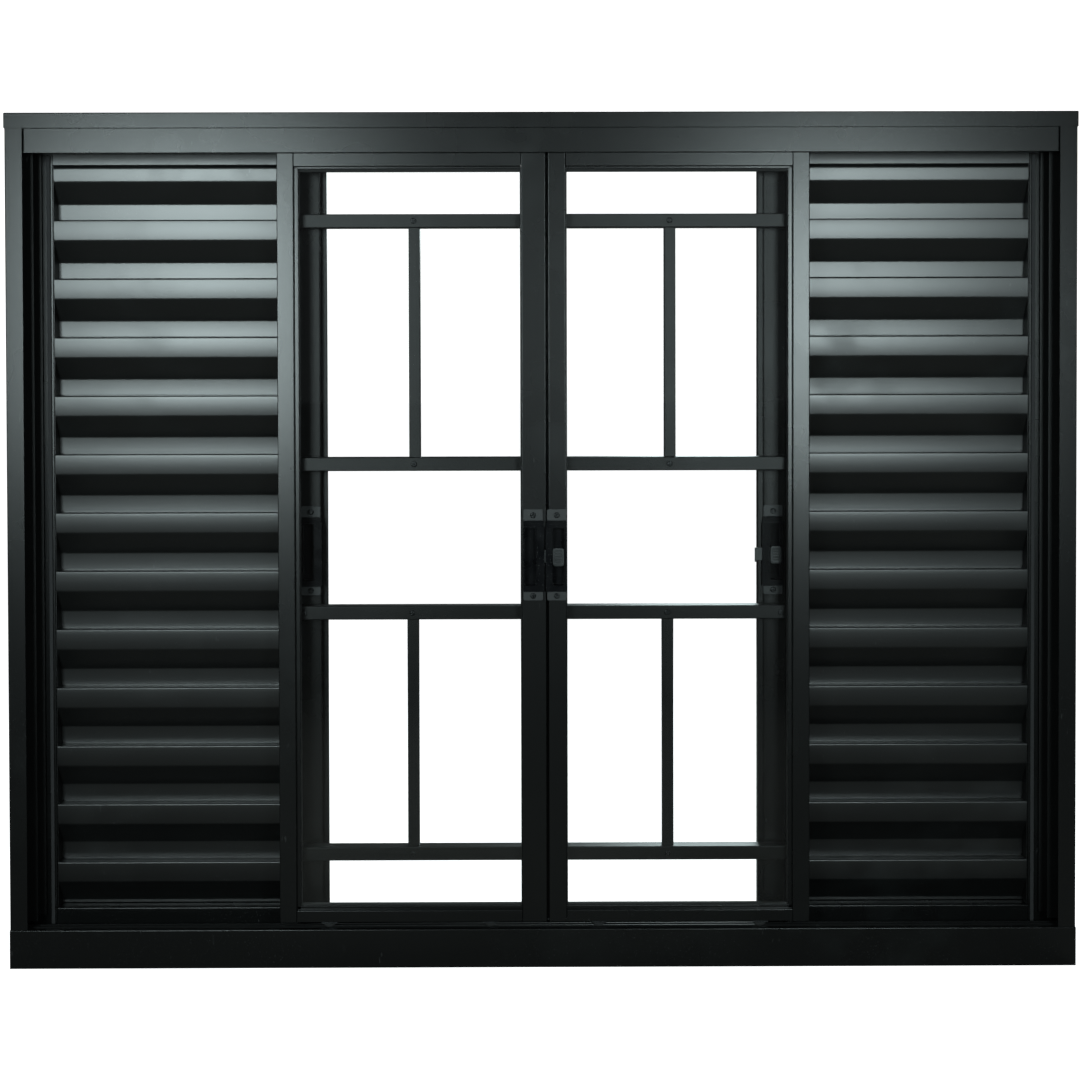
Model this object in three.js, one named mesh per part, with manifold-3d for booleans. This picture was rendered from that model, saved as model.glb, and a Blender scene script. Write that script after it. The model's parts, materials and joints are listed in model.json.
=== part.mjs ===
// Six-leaf steel sliding window with a built-in security grille.
//
// Units are millimetres. +X runs along the window's width, +Z is up, and the room side faces -Y.
// The origin is the middle of the sill's underside. Depths are counted from the room-side face.
//
// From the room outwards the layers are: two glazed sashes, the fixed security grille, two sliding
// louvred shutters, and two fixed louvred panels. Sashes and shutters hang between a folded sheet
// frame's fins and run on rollers on the sill's rails.

import * as THREE from 'three';
import { mergeVertices } from 'three/addons/utils/BufferGeometryUtils.js';
import Module from 'manifold-3d';

const wasm = await Module();
wasm.setup();

// ---------------------------------------------------------------- driving dimensions

const GAP = 0.3; // clearance left between pieces that touch

const FRAME = {
  width: 1500, height: 1200, depth: 140, sheet: 1.5,
  jambInset: 1.5, // the head oversails each jamb by this much
  sillInset: 1, // and the sill by this much
  flange: 24.5, headFlange: 21.4, sillFront: 54.5, sillRear: 40, sillLip: 6.5,
};

// Rain slots through the sill's outer wall.
const DRAIN = { centres: [-540, -180, 180, 540], length: 30, levels: [7, 12] };

// Folded fins that part the lanes, by the depth of their room-side face.
const FIN = { sheet: 1.2, room: 6, sash: 35, grille: 61, shutter: 98, outside: 133 };

const TRACK = {
  headPlate: 1196.8, valance: 1144, headFin: 1150,
  sillPlate: 3.2, roomWall: 47, sashWall: 50, grilleWall: 36, shutterWall: 32, outsideWall: 30,
  sashRail: 52, shutterRail: 16.3,
};

const GUIDE = { reach: { sash: 28, grille: 31.5, shutter: 29.5 } };

const SASH = {
  front: 12, depth: 20, sheet: 1.2, bottom: 60.5, top: 1162,
  stile: 24, lipDepth: 5, topRailBottom: 1125.5, bottomRailTop: 77, topLip: 2.1, bottomLip: 4,
};

const SHUTTER = {
  front: 66, depth: 28, sheet: 1.2, bottom: 25, top: 1165,
  trailingOuter: 738, trailingInner: 702.7, leadingOuter: 351, leadingFace: 319, leadingEdge: 311,
  lip: 6, leftLipSetback: 14, topRailBottom: 1134.6, bottomRailTop: 62.6,
};

const PANEL = {
  front: 102, depth: 28, outer: 744, outerInner: 708, inner: 353, innerEdge: 318, bottom: 6, top: 1190,
  slatsBottom: 34, slatsTop: 1160,
};

const SLAT = {
  count: 13, pitch: 84.35, firstTop: 1140.25, sheet: 1, setback: 1.5,
  face: 28.3, slopeDrop: 31, slopeRun: 20.5, rear: 23, ledgeFall: 2, upstand: 8, upstandGap: 3.5,
  endPlate: 1, endPlateInset: 1.6,
};

const GRILLE = {
  front: 38, wall: 1.2, barHeight: 19.5, barDepth: 20, postInner: 350, postWidth: 25, postSheet: 1.5,
  upright: 16, uprightSetback: 2, uprightX: 181.8, barCentres: [1051.7, 706, 494, 149],
  rows: [{ name: 'upper', above: 0, below: 1, shift: 0.5 }, { name: 'lower', above: 2, below: 3, shift: -3 }],
};

// Sashes as hung: the meeting line is a little to the right of the frame's middle.
const MEETING = { left: 5.4, right: 8.6 };
const SASH_OUTER = { left: -372, right: 376.5 };
const MEETING_FACE = { left: 34.5, right: 25 };
const GLAZING_LIP = { outer: 5.5, meeting: 1 };
const INTERLOCK = { weld: 12, lap: 5 };

const GLASS = { thickness: 3, depth: 18.6 };
const BEAD = { width: 6, thickness: 7 };

const HANDLE = {
  centre: 579.7, height: 128.5, tabWidth: 27.6, bodyWidth: 29.6, proud: 6, tabProud: 2.6,
  bodyTop: 40, bodyBottom: -51.5, rim: 1.4, wideRim: 3, troughWidth: 17, troughTop: 39, troughBottom: -43, troughDepth: 14,
  wall: 1.2, chamber: 8.6, slotHeight: 26.8, slotThickness: 3.6, slotLevel: -5,
  troughSide: { sashLeft: -26.9, sashRight: 34.1, shutterLeft: -347.2, shutterRight: 346.4 },
};

const LATCH = {
  buttonWidth: 15.6, buttonHeight: 25.2, tongueHeight: 20.4, tongueThickness: 3, hook: 2.4, nib: 2.2,
  travel: 4.2, sashReach: 9, shutterReach: 10.5,
};

const ROLLER = { radius: 8.3, flange: 1.6, width: 7, groove: 2.6, axle: 2, axleLength: 15, inset: 45, segments: 20 };

// ---------------------------------------------------------------- finishes

const finish = (color, roughness, metalness) => new THREE.MeshStandardMaterial({ color, roughness, metalness });

const BLACK_STEEL = finish(0x23282a, 0.42, 0.35);
const DARK_PLASTIC = finish(0x33373a, 0.6, 0);
const LATCH_PLASTIC = finish(0x5a5e60, 0.5, 0);
const CLEAR_GLASS = finish(0xe8f0ee, 0.05, 0);
const BLACK_RUBBER = finish(0x101112, 0.8, 0);
const NYLON = finish(0xc9c6bb, 0.5, 0);

// ---------------------------------------------------------------- solids

const atDepth = (depth) => depth - FRAME.depth / 2;

function box([x0, x1], [y0, y1], [z0, z1]) {
  const geometry = new THREE.BoxGeometry(x1 - x0, y1 - y0, z1 - z0);
  return geometry.translate((x0 + x1) / 2, (y0 + y1) / 2, (z0 + z1) / 2);
}

function shapeOf(points, holes = []) {
  const shape = new THREE.Shape(points.map(([u, v]) => new THREE.Vector2(u, v)));
  shape.holes = holes.map((hole) => new THREE.Path(hole.map(([u, v]) => new THREE.Vector2(u, v))));
  return shape;
}

// A section drawn in (y, z) and run along X.
function alongX(shape, x0, x1) {
  const geometry = new THREE.ExtrudeGeometry(shape, { depth: x1 - x0, bevelEnabled: false });
  const turn = new THREE.Matrix4().set(0, 0, 1, x0, 1, 0, 0, 0, 0, 1, 0, 0, 0, 0, 0, 1);
  return geometry.applyMatrix4(turn);
}

// A section drawn in (x, y) and run along Z.
function alongZ(shape, z0, z1) {
  const geometry = new THREE.ExtrudeGeometry(shape, { depth: z1 - z0, bevelEnabled: false });
  return geometry.translate(0, 0, z0);
}

// An outline drawn in (x, z) and run from y0 to y1.
function alongY(shape, y0, y1) {
  const geometry = new THREE.ExtrudeGeometry(shape, { depth: y1 - y0, bevelEnabled: false });
  const turn = new THREE.Matrix4().set(1, 0, 0, 0, 0, 0, -1, y1, 0, 1, 0, 0, 0, 0, 0, 1);
  return geometry.applyMatrix4(turn);
}

function toSolid(geometry) {
  const bare = geometry.clone();
  bare.deleteAttribute('normal');
  bare.deleteAttribute('uv');
  const merged = mergeVertices(bare, 1e-4);
  return new wasm.Manifold(new wasm.Mesh({
    numProp: 3,
    vertProperties: new Float32Array(merged.attributes.position.array),
    triVerts: new Uint32Array(merged.index.array),
  }));
}

function toGeometry(solid) {
  const mesh = solid.getMesh();
  const geometry = new THREE.BufferGeometry();
  geometry.setAttribute('position', new THREE.BufferAttribute(new Float32Array(mesh.vertProperties), 3));
  geometry.setIndex(new THREE.BufferAttribute(new Uint32Array(mesh.triVerts), 1));
  geometry.computeVertexNormals();
  return geometry;
}

const join = (parts) => toGeometry(parts.map(toSolid).reduce((whole, part) => whole.add(part)));
const cut = (body, tools) => toGeometry(tools.map(toSolid).reduce((left, tool) => left.subtract(tool), toSolid(body)));
const keep = (body, window) => toGeometry(toSolid(body).intersect(toSolid(window)));

// ---------------------------------------------------------------- sections

// A plate from along[0] to along[1] with fins standing on its finSide face. Each fin is
// [near, far, tip]. `near` and `far` run along the plate, and `tip` is the level of the fin's free edge.
function comb(along, plate, finSide, fins) {
  const points = [[along[1], plate], [along[0], plate]];
  for (const [near, far, tip] of fins) points.push([near, finSide], [near, tip], [far, tip], [far, finSide]);
  points.push([along[1], finSide]);
  return points.filter((p, i) => {
    const q = points[(i + 1) % points.length];
    return Math.hypot(p[0] - q[0], p[1] - q[1]) > 1e-6;
  });
}

// Both faces of a bent sheet that follows `path`, the second face lying `sheet` to the path's right.
function bentSheet(path, sheet) {
  const normal = (a, b) => {
    const length = Math.hypot(b[0] - a[0], b[1] - a[1]);
    return [(b[1] - a[1]) / length, -(b[0] - a[0]) / length];
  };
  const offset = path.map((point, i) => {
    const before = i > 0 ? normal(path[i - 1], point) : normal(point, path[i + 1]);
    const after = i < path.length - 1 ? normal(point, path[i + 1]) : before;
    const stretch = sheet / (1 + before[0] * after[0] + before[1] * after[1]);
    return [point[0] + (before[0] + after[0]) * stretch, point[1] + (before[1] + after[1]) * stretch];
  });
  return [...path, ...offset.reverse()];
}

// A U-shaped channel in plan, open towards `open` along X, from x0 to x1 and from y0 to y1.
function channelPlan(x0, x1, y0, y1, sheet, open) {
  const back = open > 0 ? x0 : x1;
  const mouth = open > 0 ? x1 : x0;
  const inside = back + open * sheet;
  return [
    [back, y0], [mouth, y0], [mouth, y0 + sheet], [inside, y0 + sheet],
    [inside, y1 - sheet], [mouth, y1 - sheet], [mouth, y1], [back, y1],
  ];
}

const rectangle = (x0, x1, y0, y1) => [[x0, y0], [x1, y0], [x1, y1], [x0, y1]];

// ---------------------------------------------------------------- frame

function head() {
  const { width, height, depth, sheet, headFlange } = FRAME;
  const whole = box([-width / 2, width / 2], [atDepth(0), atDepth(depth)], [height - headFlange, height]);
  const hollow = box(
    [sheet - width / 2, width / 2 - sheet], [atDepth(sheet), atDepth(depth - sheet)],
    [height - headFlange - 1, height - sheet],
  );
  return cut(whole, [hollow]);
}

function sill() {
  const { depth, sheet, sillFront, sillRear, sillLip } = FRAME;
  const half = FRAME.width / 2 - FRAME.sillInset;
  const section = [
    [atDepth(0), 0], [atDepth(depth), 0], [atDepth(depth), sillRear], [atDepth(depth - sheet), sillRear],
    [atDepth(depth - sheet), sheet], [atDepth(sheet), sheet], [atDepth(sheet), sillFront - sheet],
    [atDepth(sillLip), sillFront - sheet], [atDepth(sillLip), sillFront], [atDepth(0), sillFront],
  ];
  const endPlate = (x0, x1) => box([x0, x1], [atDepth(0.2), atDepth(depth - 0.2)], [0.2, sillFront - 0.2]);
  const body = join([
    alongX(shapeOf(section), -half, half), endPlate(0.2 - half, sheet - half), endPlate(half - sheet, half - 0.2),
  ]);
  const drains = DRAIN.centres.map((x) => (
    box([x - DRAIN.length / 2, x + DRAIN.length / 2], [atDepth(depth - 3), atDepth(depth + 3)], DRAIN.levels)
  ));
  return cut(body, drains);
}

function jamb(side) {
  const outer = FRAME.width / 2 - FRAME.jambInset;
  const inner = outer - FRAME.flange;
  const plan = channelPlan(
    Math.min(side * outer, side * inner), Math.max(side * outer, side * inner),
    atDepth(0), atDepth(FRAME.depth), FRAME.sheet, -side,
  );
  return alongZ(shapeOf(plan), FRAME.sillFront + GAP, FRAME.height - FRAME.headFlange - GAP);
}

const innerHalfWidth = FRAME.width / 2 - FRAME.jambInset - FRAME.sheet;

function headTrack() {
  const { sheet, room, sash, grille, shutter, outside } = FIN;
  const { headPlate, valance, headFin } = TRACK;
  const fin = (depth, tip) => [atDepth(depth), atDepth(depth + sheet), tip];
  const section = comb(
    [atDepth(room), atDepth(outside + sheet)], headPlate, headPlate - sheet,
    [fin(room, valance), fin(sash, headFin), fin(grille, headFin), fin(shutter, headFin), fin(outside, valance)],
  );
  return alongX(shapeOf(section), GAP - innerHalfWidth, innerHalfWidth - GAP);
}

function sillTrack() {
  const { sheet, room, sash, grille, shutter, outside } = FIN;
  const front = room + 2;
  const fin = (depth, tip) => [atDepth(depth), atDepth(depth + sheet), tip];
  const railAt = (leaf) => leaf.front + leaf.depth / 2 - sheet / 2;
  const { sillPlate, roomWall, sashRail, sashWall, grilleWall, shutterRail, shutterWall, outsideWall } = TRACK;
  const section = comb(
    [atDepth(front), atDepth(outside + sheet)], sillPlate, sillPlate + sheet,
    [
      fin(front, roomWall), fin(railAt(SASH), sashRail), fin(sash, sashWall), fin(grille, grilleWall),
      fin(railAt(SHUTTER), shutterRail), fin(shutter, shutterWall), fin(outside, outsideWall),
    ],
  );
  return alongX(shapeOf(section.reverse()), GAP - innerHalfWidth, innerHalfWidth - GAP);
}

function sideGuide(side) {
  const { sheet, room, sash, grille, shutter, outside } = FIN;
  const web = innerHalfWidth - GAP;
  const fin = (depth, reach) => [atDepth(depth), atDepth(depth + sheet), side * (innerHalfWidth + FRAME.sheet - reach)];
  const outline = comb(
    [atDepth(room + 2), atDepth(outside - 1)], side * web, side * (web - sheet),
    [fin(sash, GUIDE.reach.sash), fin(grille, GUIDE.reach.grille), fin(shutter, GUIDE.reach.shutter)],
  ).map(([along, across]) => [across, along]);
  return alongZ(shapeOf(outline), FRAME.sillFront + GAP, TRACK.headFin - GAP);
}

// ---------------------------------------------------------------- louvres

// One slat in section: an upstand behind the slat above, a ledge, the front face, the slope back, the rear face.
function slatPath(front, top) {
  const back = front + SLAT.slopeRun;
  const behind = back + SLAT.upstandGap;
  const ledge = top - SLAT.ledgeFall;
  return [
    [atDepth(behind), ledge + SLAT.upstand], [atDepth(behind), ledge], [atDepth(front), top],
    [atDepth(front), top - SLAT.face], [atDepth(back), top - SLAT.face - SLAT.slopeDrop],
    [atDepth(back), top - SLAT.face - SLAT.slopeDrop - SLAT.rear],
  ];
}

// The slats of one leaf, welded to an end plate at each side, trimmed to the height between the rails.
function slatPack(leaf, x0, x1, bottom, top) {
  const front = leaf.front + SLAT.setback;
  const slats = Array.from({ length: SLAT.count }, (_, i) => {
    const path = slatPath(front, SLAT.firstTop - i * SLAT.pitch);
    return alongX(shapeOf(bentSheet(path, SLAT.sheet).reverse()), x0 + SLAT.endPlate / 2, x1 - SLAT.endPlate / 2);
  });
  const plateDepth = [leaf.front + SLAT.endPlateInset, leaf.front + leaf.depth - SLAT.endPlateInset].map(atDepth);
  const plates = [[x0, x0 + SLAT.endPlate], [x1 - SLAT.endPlate, x1]].map((span) => (
    box(span, plateDepth, [bottom, top])
  ));
  const window = box([x0 - 1, x1 + 1], [atDepth(leaf.front), atDepth(leaf.front + leaf.depth)], [bottom, top]);
  return keep(join([...plates, ...slats]), window);
}

// ---------------------------------------------------------------- handles and latches

// A recessed pull, drawn with its trough side at x = 0 and its meeting side towards +x, about its
// own middle height. Its back face sits on the leaf at y = 0, and the cup goes into the leaf.
function handle(hand, hasLatch, rim) {
  const h = { ...HANDLE, rim };
  const half = h.height / 2;
  const plate = box([0, h.tabWidth], [-h.tabProud, -GAP], [-half, half]);
  const body = box([0, h.bodyWidth], [-h.proud, -GAP], [h.bodyBottom, h.bodyTop]);
  const cup = box(
    [h.rim - h.wall, h.rim + h.troughWidth + h.wall], [-1, h.troughDepth - h.proud + h.wall],
    [h.troughBottom - h.wall, h.troughTop - 1 + h.wall],
  );
  const trough = box(
    [h.rim, h.rim + h.troughWidth], [-h.proud - 1, h.troughDepth - h.proud], [h.troughBottom, h.troughTop - 1],
  );
  const slotDepth = [-h.proud + 1.2, -h.proud + 1.2 + h.slotThickness];
  const slotLevel = [h.slotLevel - h.slotHeight / 2, h.slotLevel + h.slotHeight / 2];
  const chamber = box([h.bodyWidth - h.wall - h.chamber, h.bodyWidth - h.wall], slotDepth, slotLevel);
  const mouth = box(
    [h.bodyWidth - h.wall - 1, h.bodyWidth + 1], slotDepth, [slotLevel[0] + LATCH.hook + 0.4, slotLevel[1]],
  );
  const passage = box([h.rim + h.troughWidth - 1, h.bodyWidth + 1], slotDepth, slotLevel);
  const tools = hasLatch ? [trough, passage] : [trough, chamber, mouth];
  return mirrored(cut(join([plate, body, cup]), tools), hand);
}

// A thumb button in the trough, with a tongue that passes the grip and hooks into the other leaf's pull.
function latch(hand, reach, raised, rim) {
  const h = { ...HANDLE, rim };
  const lift = raised ? LATCH.travel : 0;
  const middle = h.slotLevel - LATCH.travel / 2 + lift;
  const x0 = h.rim + (h.troughWidth - LATCH.buttonWidth) / 2;
  const button = box(
    [x0, x0 + LATCH.buttonWidth], [-h.proud - 0.5, -0.5],
    [middle - LATCH.buttonHeight / 2, middle + LATCH.buttonHeight / 2],
  );
  const thickness = [-h.proud + 1.5, -h.proud + 1.5 + LATCH.tongueThickness];
  const tip = h.bodyWidth + reach;
  const hookTop = middle + LATCH.tongueHeight / 2;
  const hookBottom = middle - LATCH.tongueHeight / 2;
  const neck = box([x0 + 1, tip], thickness, [hookBottom + LATCH.hook, hookTop]);
  const nib = box([tip - LATCH.nib, tip], thickness, [hookBottom, hookTop - 1]);
  return mirrored(join([button, neck, nib]), hand);
}

// Mirrors a closed mesh across x = 0 when `hand` is negative, and turns its faces out again.
function mirrored(geometry, hand) {
  if (hand > 0) return geometry;
  const flipped = geometry.clone().scale(-1, 1, 1);
  const index = flipped.index.array;
  for (let i = 0; i < index.length; i += 3) [index[i], index[i + 1]] = [index[i + 1], index[i]];
  flipped.computeVertexNormals();
  return flipped;
}

// The hole in a stile that takes a handle's cup, in the handle's own frame.
function cupHole(hand, sheet, rim) {
  const h = { ...HANDLE, rim };
  const across = [h.rim - h.wall - GAP, h.rim + h.troughWidth + h.wall + GAP];
  const [x0, x1] = hand > 0 ? across : [-across[1], -across[0]];
  return box([x0, x1], [-1, sheet + 1], [h.troughBottom - h.wall - GAP, h.troughTop - 1 + h.wall + GAP]);
}

// ---------------------------------------------------------------- rollers

function roller(radius) {
  const { flange, width, groove, axle, axleLength, segments } = ROLLER;
  const profile = [
    [0, -axleLength / 2], [axle, -axleLength / 2], [axle, -width / 2], [radius + flange, -width / 2],
    [radius + flange, -groove / 2 - 0.6], [radius, -groove / 2], [radius, groove / 2],
    [radius + flange, groove / 2 + 0.6], [radius + flange, width / 2], [axle, width / 2],
    [axle, axleLength / 2], [0, axleLength / 2],
  ].map(([r, h]) => new THREE.Vector2(r, h));
  return new THREE.LatheGeometry(profile, segments);
}

// ---------------------------------------------------------------- scene graph

const product = new THREE.Group();

function add(group, name, geometry, material) {
  const mesh = new THREE.Mesh(geometry, material);
  mesh.name = name;
  group.add(mesh);
  return mesh;
}

const SIDES = [['left', -1], ['right', 1]];
const span = (a, b) => [Math.min(a, b), Math.max(a, b)];

function buildFrame() {
  add(product, 'frame_head', head(), BLACK_STEEL);
  add(product, 'frame_sill', sill(), BLACK_STEEL);
  add(product, 'head_track', headTrack(), BLACK_STEEL);
  add(product, 'sill_track', sillTrack(), BLACK_STEEL);
  for (const [name, side] of SIDES) {
    add(product, `frame_jamb_${name}`, jamb(side), BLACK_STEEL);
    add(product, `side_guide_${name}`, sideGuide(side), BLACK_STEEL);
  }
}

function buildFixedPanel(name, side) {
  const [y0, y1] = [atDepth(PANEL.front), atDepth(PANEL.front + PANEL.depth)];
  const stile = (a, b, open) => alongZ(
    shapeOf(channelPlan(...span(side * a, side * b), y0, y1, SHUTTER.sheet, open)), PANEL.bottom, PANEL.top,
  );
  const [x0, x1] = span(side * PANEL.outerInner, side * PANEL.inner);
  add(product, `fixed_louvre_${name}_slats`, slatPack(PANEL, x0 + GAP, x1 - GAP, PANEL.slatsBottom, PANEL.slatsTop), BLACK_STEEL);
  add(product, `fixed_louvre_${name}_outer_stile`, stile(PANEL.outer, PANEL.outerInner, -side), BLACK_STEEL);
  add(product, `fixed_louvre_${name}_inner_stile`, stile(PANEL.inner, PANEL.innerEdge, side), BLACK_STEEL);
}

function buildGrille() {
  const { front, wall, barHeight, barDepth, postInner, postWidth, postSheet, barCentres } = GRILLE;
  const [y0, y1] = [atDepth(front), atDepth(front + barDepth)];
  for (const [name, side] of SIDES) {
    const plan = channelPlan(...span(side * postInner, side * (postInner + postWidth)), y0, y1, postSheet, side);
    const foot = TRACK.sillPlate + FIN.sheet + GAP;
    const top = TRACK.headPlate - FIN.sheet - GAP;
    add(product, `grille_post_${name}`, alongZ(shapeOf(plan), foot, top), BLACK_STEEL);
  }
  const tube = (u0, u1, v0, v1) => shapeOf(
    rectangle(u0, u1, v0, v1), [rectangle(u0 + wall, u1 - wall, v0 + wall, v1 - wall)],
  );
  barCentres.forEach((centre, i) => {
    const section = tube(y0, y1, centre - barHeight / 2, centre + barHeight / 2);
    add(product, `grille_bar_${i + 1}`, alongX(section, GAP - postInner, postInner - GAP), BLACK_STEEL);
  });
  const { upright, uprightSetback, uprightX, rows } = GRILLE;
  const depths = [atDepth(front + uprightSetback), atDepth(front + uprightSetback + upright)];
  for (const { name: row, above, below, shift } of rows) {
    for (const [name, side] of SIDES) {
      const x = side * uprightX + shift;
      const section = tube(x - upright / 2, x + upright / 2, ...depths);
      const z0 = barCentres[below] + barHeight / 2 + GAP;
      const z1 = barCentres[above] - barHeight / 2 - GAP;
      add(product, `grille_upright_${row}_${name}`, alongZ(section, z0, z1), BLACK_STEEL);
    }
  }
}

// Rollers stand half out of a leaf's bottom rail, one near each end.
function addRollers(leafName, leaf, x0, x1) {
  [x0 + ROLLER.inset, x1 - ROLLER.inset].forEach((x, i) => {
    const wheel = add(product, `${leafName}_roller_${i === 0 ? 'a' : 'b'}`, roller(ROLLER.radius), NYLON);
    wheel.position.set(x, atDepth(leaf.front + leaf.depth / 2), leaf.bottom + 0.1);
  });
}

// A strip welded behind the left meeting stile. It laps over the right one and closes the gap between them.
function interlock(back, sheet, z0, z1) {
  const weld = MEETING.left - sheet / 2;
  const face = back + GAP;
  const plan = [
    [MEETING.left - INTERLOCK.weld, back - sheet / 2], [weld, back - sheet / 2], [weld, face],
    [MEETING.right + INTERLOCK.lap, face], [MEETING.right + INTERLOCK.lap, face + sheet],
    [MEETING.left - INTERLOCK.weld, face + sheet],
  ];
  return alongZ(shapeOf(plan), z0, z1);
}

function buildSash(name, side) {
  const { front, depth, sheet, bottom, top, stile, lipDepth, topRailBottom, bottomRailTop } = SASH;
  const leafName = `sash_${name}`;
  const outerEdge = SASH_OUTER[name];
  const meetingEdge = MEETING[name];
  const [y0, y1] = [atDepth(front), atDepth(front + depth)];
  const lipY = [atDepth(front + lipDepth), atDepth(front + lipDepth + sheet)];

  // A stile is a box tube from `edge` inwards, with a glazing lip on its inner side between the rails.
  const stileOf = (edge, face, lip, inwards) => {
    const inner = edge + inwards * face;
    const hole = rectangle(...span(edge + inwards * sheet, inner - inwards * sheet), y0 + sheet, y1 - sheet);
    const tube = alongZ(shapeOf(rectangle(...span(edge, inner), y0, y1), [hole]), bottom, top);
    const tongue = box(span(inner - inwards * sheet, inner + inwards * lip), lipY,
      [bottomRailTop + GAP, topRailBottom - GAP]);
    return join([tube, tongue]);
  };
  const lips = GLAZING_LIP;
  const meetingFace = MEETING_FACE[name];
  const isRight = name === 'right';
  const rim = isRight ? HANDLE.wideRim : HANDLE.rim;
  const handleX = isRight ? HANDLE.troughSide.sashRight : HANDLE.troughSide.sashLeft;
  const hole = cupHole(-side, sheet, rim).translate(handleX, y0, HANDLE.centre);
  const tube = stileOf(meetingEdge, meetingFace, lips.meeting, side);
  const meeting = isRight ? tube : join([tube, interlock(y1, sheet, bottom + 1, top - 1)]);
  add(product, `${leafName}_outer_stile`, stileOf(outerEdge, stile, lips.outer, -side), BLACK_STEEL);
  add(product, `${leafName}_meeting_stile`, cut(meeting, [hole]), BLACK_STEEL);

  const outerInner = outerEdge - side * stile;
  const meetingInner = meetingEdge + side * meetingFace;
  const [x0, x1] = span(outerInner, meetingInner).map((x, i) => x + (i === 0 ? GAP : -GAP));
  const lipX = span(outerInner - side * (lips.outer + GAP), meetingInner + side * (lips.meeting + GAP));
  const railOf = (web, mouth, lipZ) => {
    const inside = web + Math.sign(mouth - web) * sheet;
    const outline = [[y0, web], [y1, web], [y1, mouth], [y1 - sheet, mouth],
      [y1 - sheet, inside], [y0 + sheet, inside], [y0 + sheet, mouth], [y0, mouth]];
    const body = alongX(shapeOf(mouth > web ? outline : outline.reverse()), x0, x1);
    return join([body, box(lipX, lipY, lipZ)]);
  };
  const topLip = [topRailBottom - SASH.topLip, topRailBottom + sheet / 2];
  const bottomLip = [bottomRailTop - sheet / 2, bottomRailTop + SASH.bottomLip];
  add(product, `${leafName}_top_rail`, railOf(topRailBottom, top, topLip), BLACK_STEEL);
  add(product, `${leafName}_bottom_rail`, railOf(bottomRailTop, bottom, bottomLip), BLACK_STEEL);

  const pane = [x0, x1, bottomRailTop + GAP, topRailBottom - GAP];
  const glassY = [atDepth(GLASS.depth), atDepth(GLASS.depth + GLASS.thickness)];
  add(product, `${leafName}_glass`, box([pane[0], pane[1]], glassY, [pane[2], pane[3]]), CLEAR_GLASS);
  const beadOutline = shapeOf(rectangle(...pane), [rectangle(
    pane[0] + BEAD.width, pane[1] - BEAD.width, pane[2] + BEAD.width, pane[3] - BEAD.width,
  )]);
  const bead = alongY(beadOutline, glassY[1] + GAP, glassY[1] + GAP + BEAD.thickness);
  add(product, `${leafName}_glazing_bead`, bead, BLACK_RUBBER);

  const pull = add(product, `${leafName}_handle`, handle(-side, isRight, rim), DARK_PLASTIC);
  pull.position.set(handleX, y0, HANDLE.centre);
  if (isRight) {
    const thumb = add(product, `${leafName}_latch`, latch(-side, LATCH.sashReach, true, rim), LATCH_PLASTIC);
    thumb.position.set(handleX, y0, HANDLE.centre);
  }
  addRollers(leafName, SASH, x0, x1);
}

function buildShutter(name, side) {
  const { front, depth, sheet, bottom, top, lip, topRailBottom, bottomRailTop } = SHUTTER;
  const leafName = `shutter_${name}`;
  const [y0, y1] = [atDepth(front), atDepth(front + depth)];
  const at = (distance) => side * distance;

  const trailing = channelPlan(...span(at(SHUTTER.trailingOuter), at(SHUTTER.trailingInner)), y0, y1, sheet, -side);
  add(product, `${leafName}_trailing_stile`, alongZ(shapeOf(trailing), bottom, top), BLACK_STEEL);

  // The leading stile is a channel with an overlap lip: at the front on the right leaf, further back on the left.
  const faceEdge = at(SHUTTER.leadingFace);
  const channel = channelPlan(...span(at(SHUTTER.leadingOuter), faceEdge), y0, y1, sheet, side);
  const isRight = name === 'right';
  const lipFront = isRight ? y0 : y0 + SHUTTER.leftLipSetback;
  const lipBox = rectangle(...span(faceEdge + side * sheet, at(SHUTTER.leadingEdge)), lipFront, lipFront + lip);
  const leading = join([
    alongZ(shapeOf(channel), bottom, top), alongZ(shapeOf(lipBox), bottom, top),
  ]);
  const handleX = isRight ? HANDLE.troughSide.shutterRight : HANDLE.troughSide.shutterLeft;
  const hole = cupHole(-side, sheet, HANDLE.rim).translate(handleX, y0, HANDLE.centre);
  add(product, `${leafName}_leading_stile`, cut(leading, [hole]), BLACK_STEEL);

  const [x0, x1] = span(at(SHUTTER.trailingInner), at(SHUTTER.leadingOuter));
  const rail = (z0, z1, openUp) => {
    const [webOut, webIn] = openUp ? [z0, z0 + sheet] : [z1, z1 - sheet];
    const mouth = openUp ? z1 : z0;
    const outline = [[y0, webOut], [y1, webOut], [y1, mouth], [y1 - sheet, mouth],
      [y1 - sheet, webIn], [y0 + sheet, webIn], [y0 + sheet, mouth], [y0, mouth]];
    return alongX(shapeOf(openUp ? outline : outline.reverse()), x0 + GAP, x1 - GAP);
  };
  add(product, `${leafName}_top_rail`, rail(topRailBottom, top, true), BLACK_STEEL);
  add(product, `${leafName}_bottom_rail`, rail(bottom, bottomRailTop, false), BLACK_STEEL);
  const slats = slatPack(SHUTTER, x0 + GAP, x1 - GAP, bottomRailTop + GAP, topRailBottom - GAP);
  add(product, `${leafName}_slats`, slats, BLACK_STEEL);

  const pull = add(product, `${leafName}_handle`, handle(-side, isRight, HANDLE.rim), DARK_PLASTIC);
  pull.position.set(handleX, y0, HANDLE.centre);
  if (isRight) {
    const thumb = add(product, `${leafName}_latch`, latch(-side, LATCH.shutterReach, false, HANDLE.rim), LATCH_PLASTIC);
    thumb.position.set(handleX, y0, HANDLE.centre);
  }
  addRollers(leafName, SHUTTER, x0, x1);
}

buildFrame();
buildGrille();
for (const [name, side] of SIDES) {
  buildFixedPanel(name, side);
  buildShutter(name, side);
  buildSash(name, side);
}

export default product;
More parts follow.
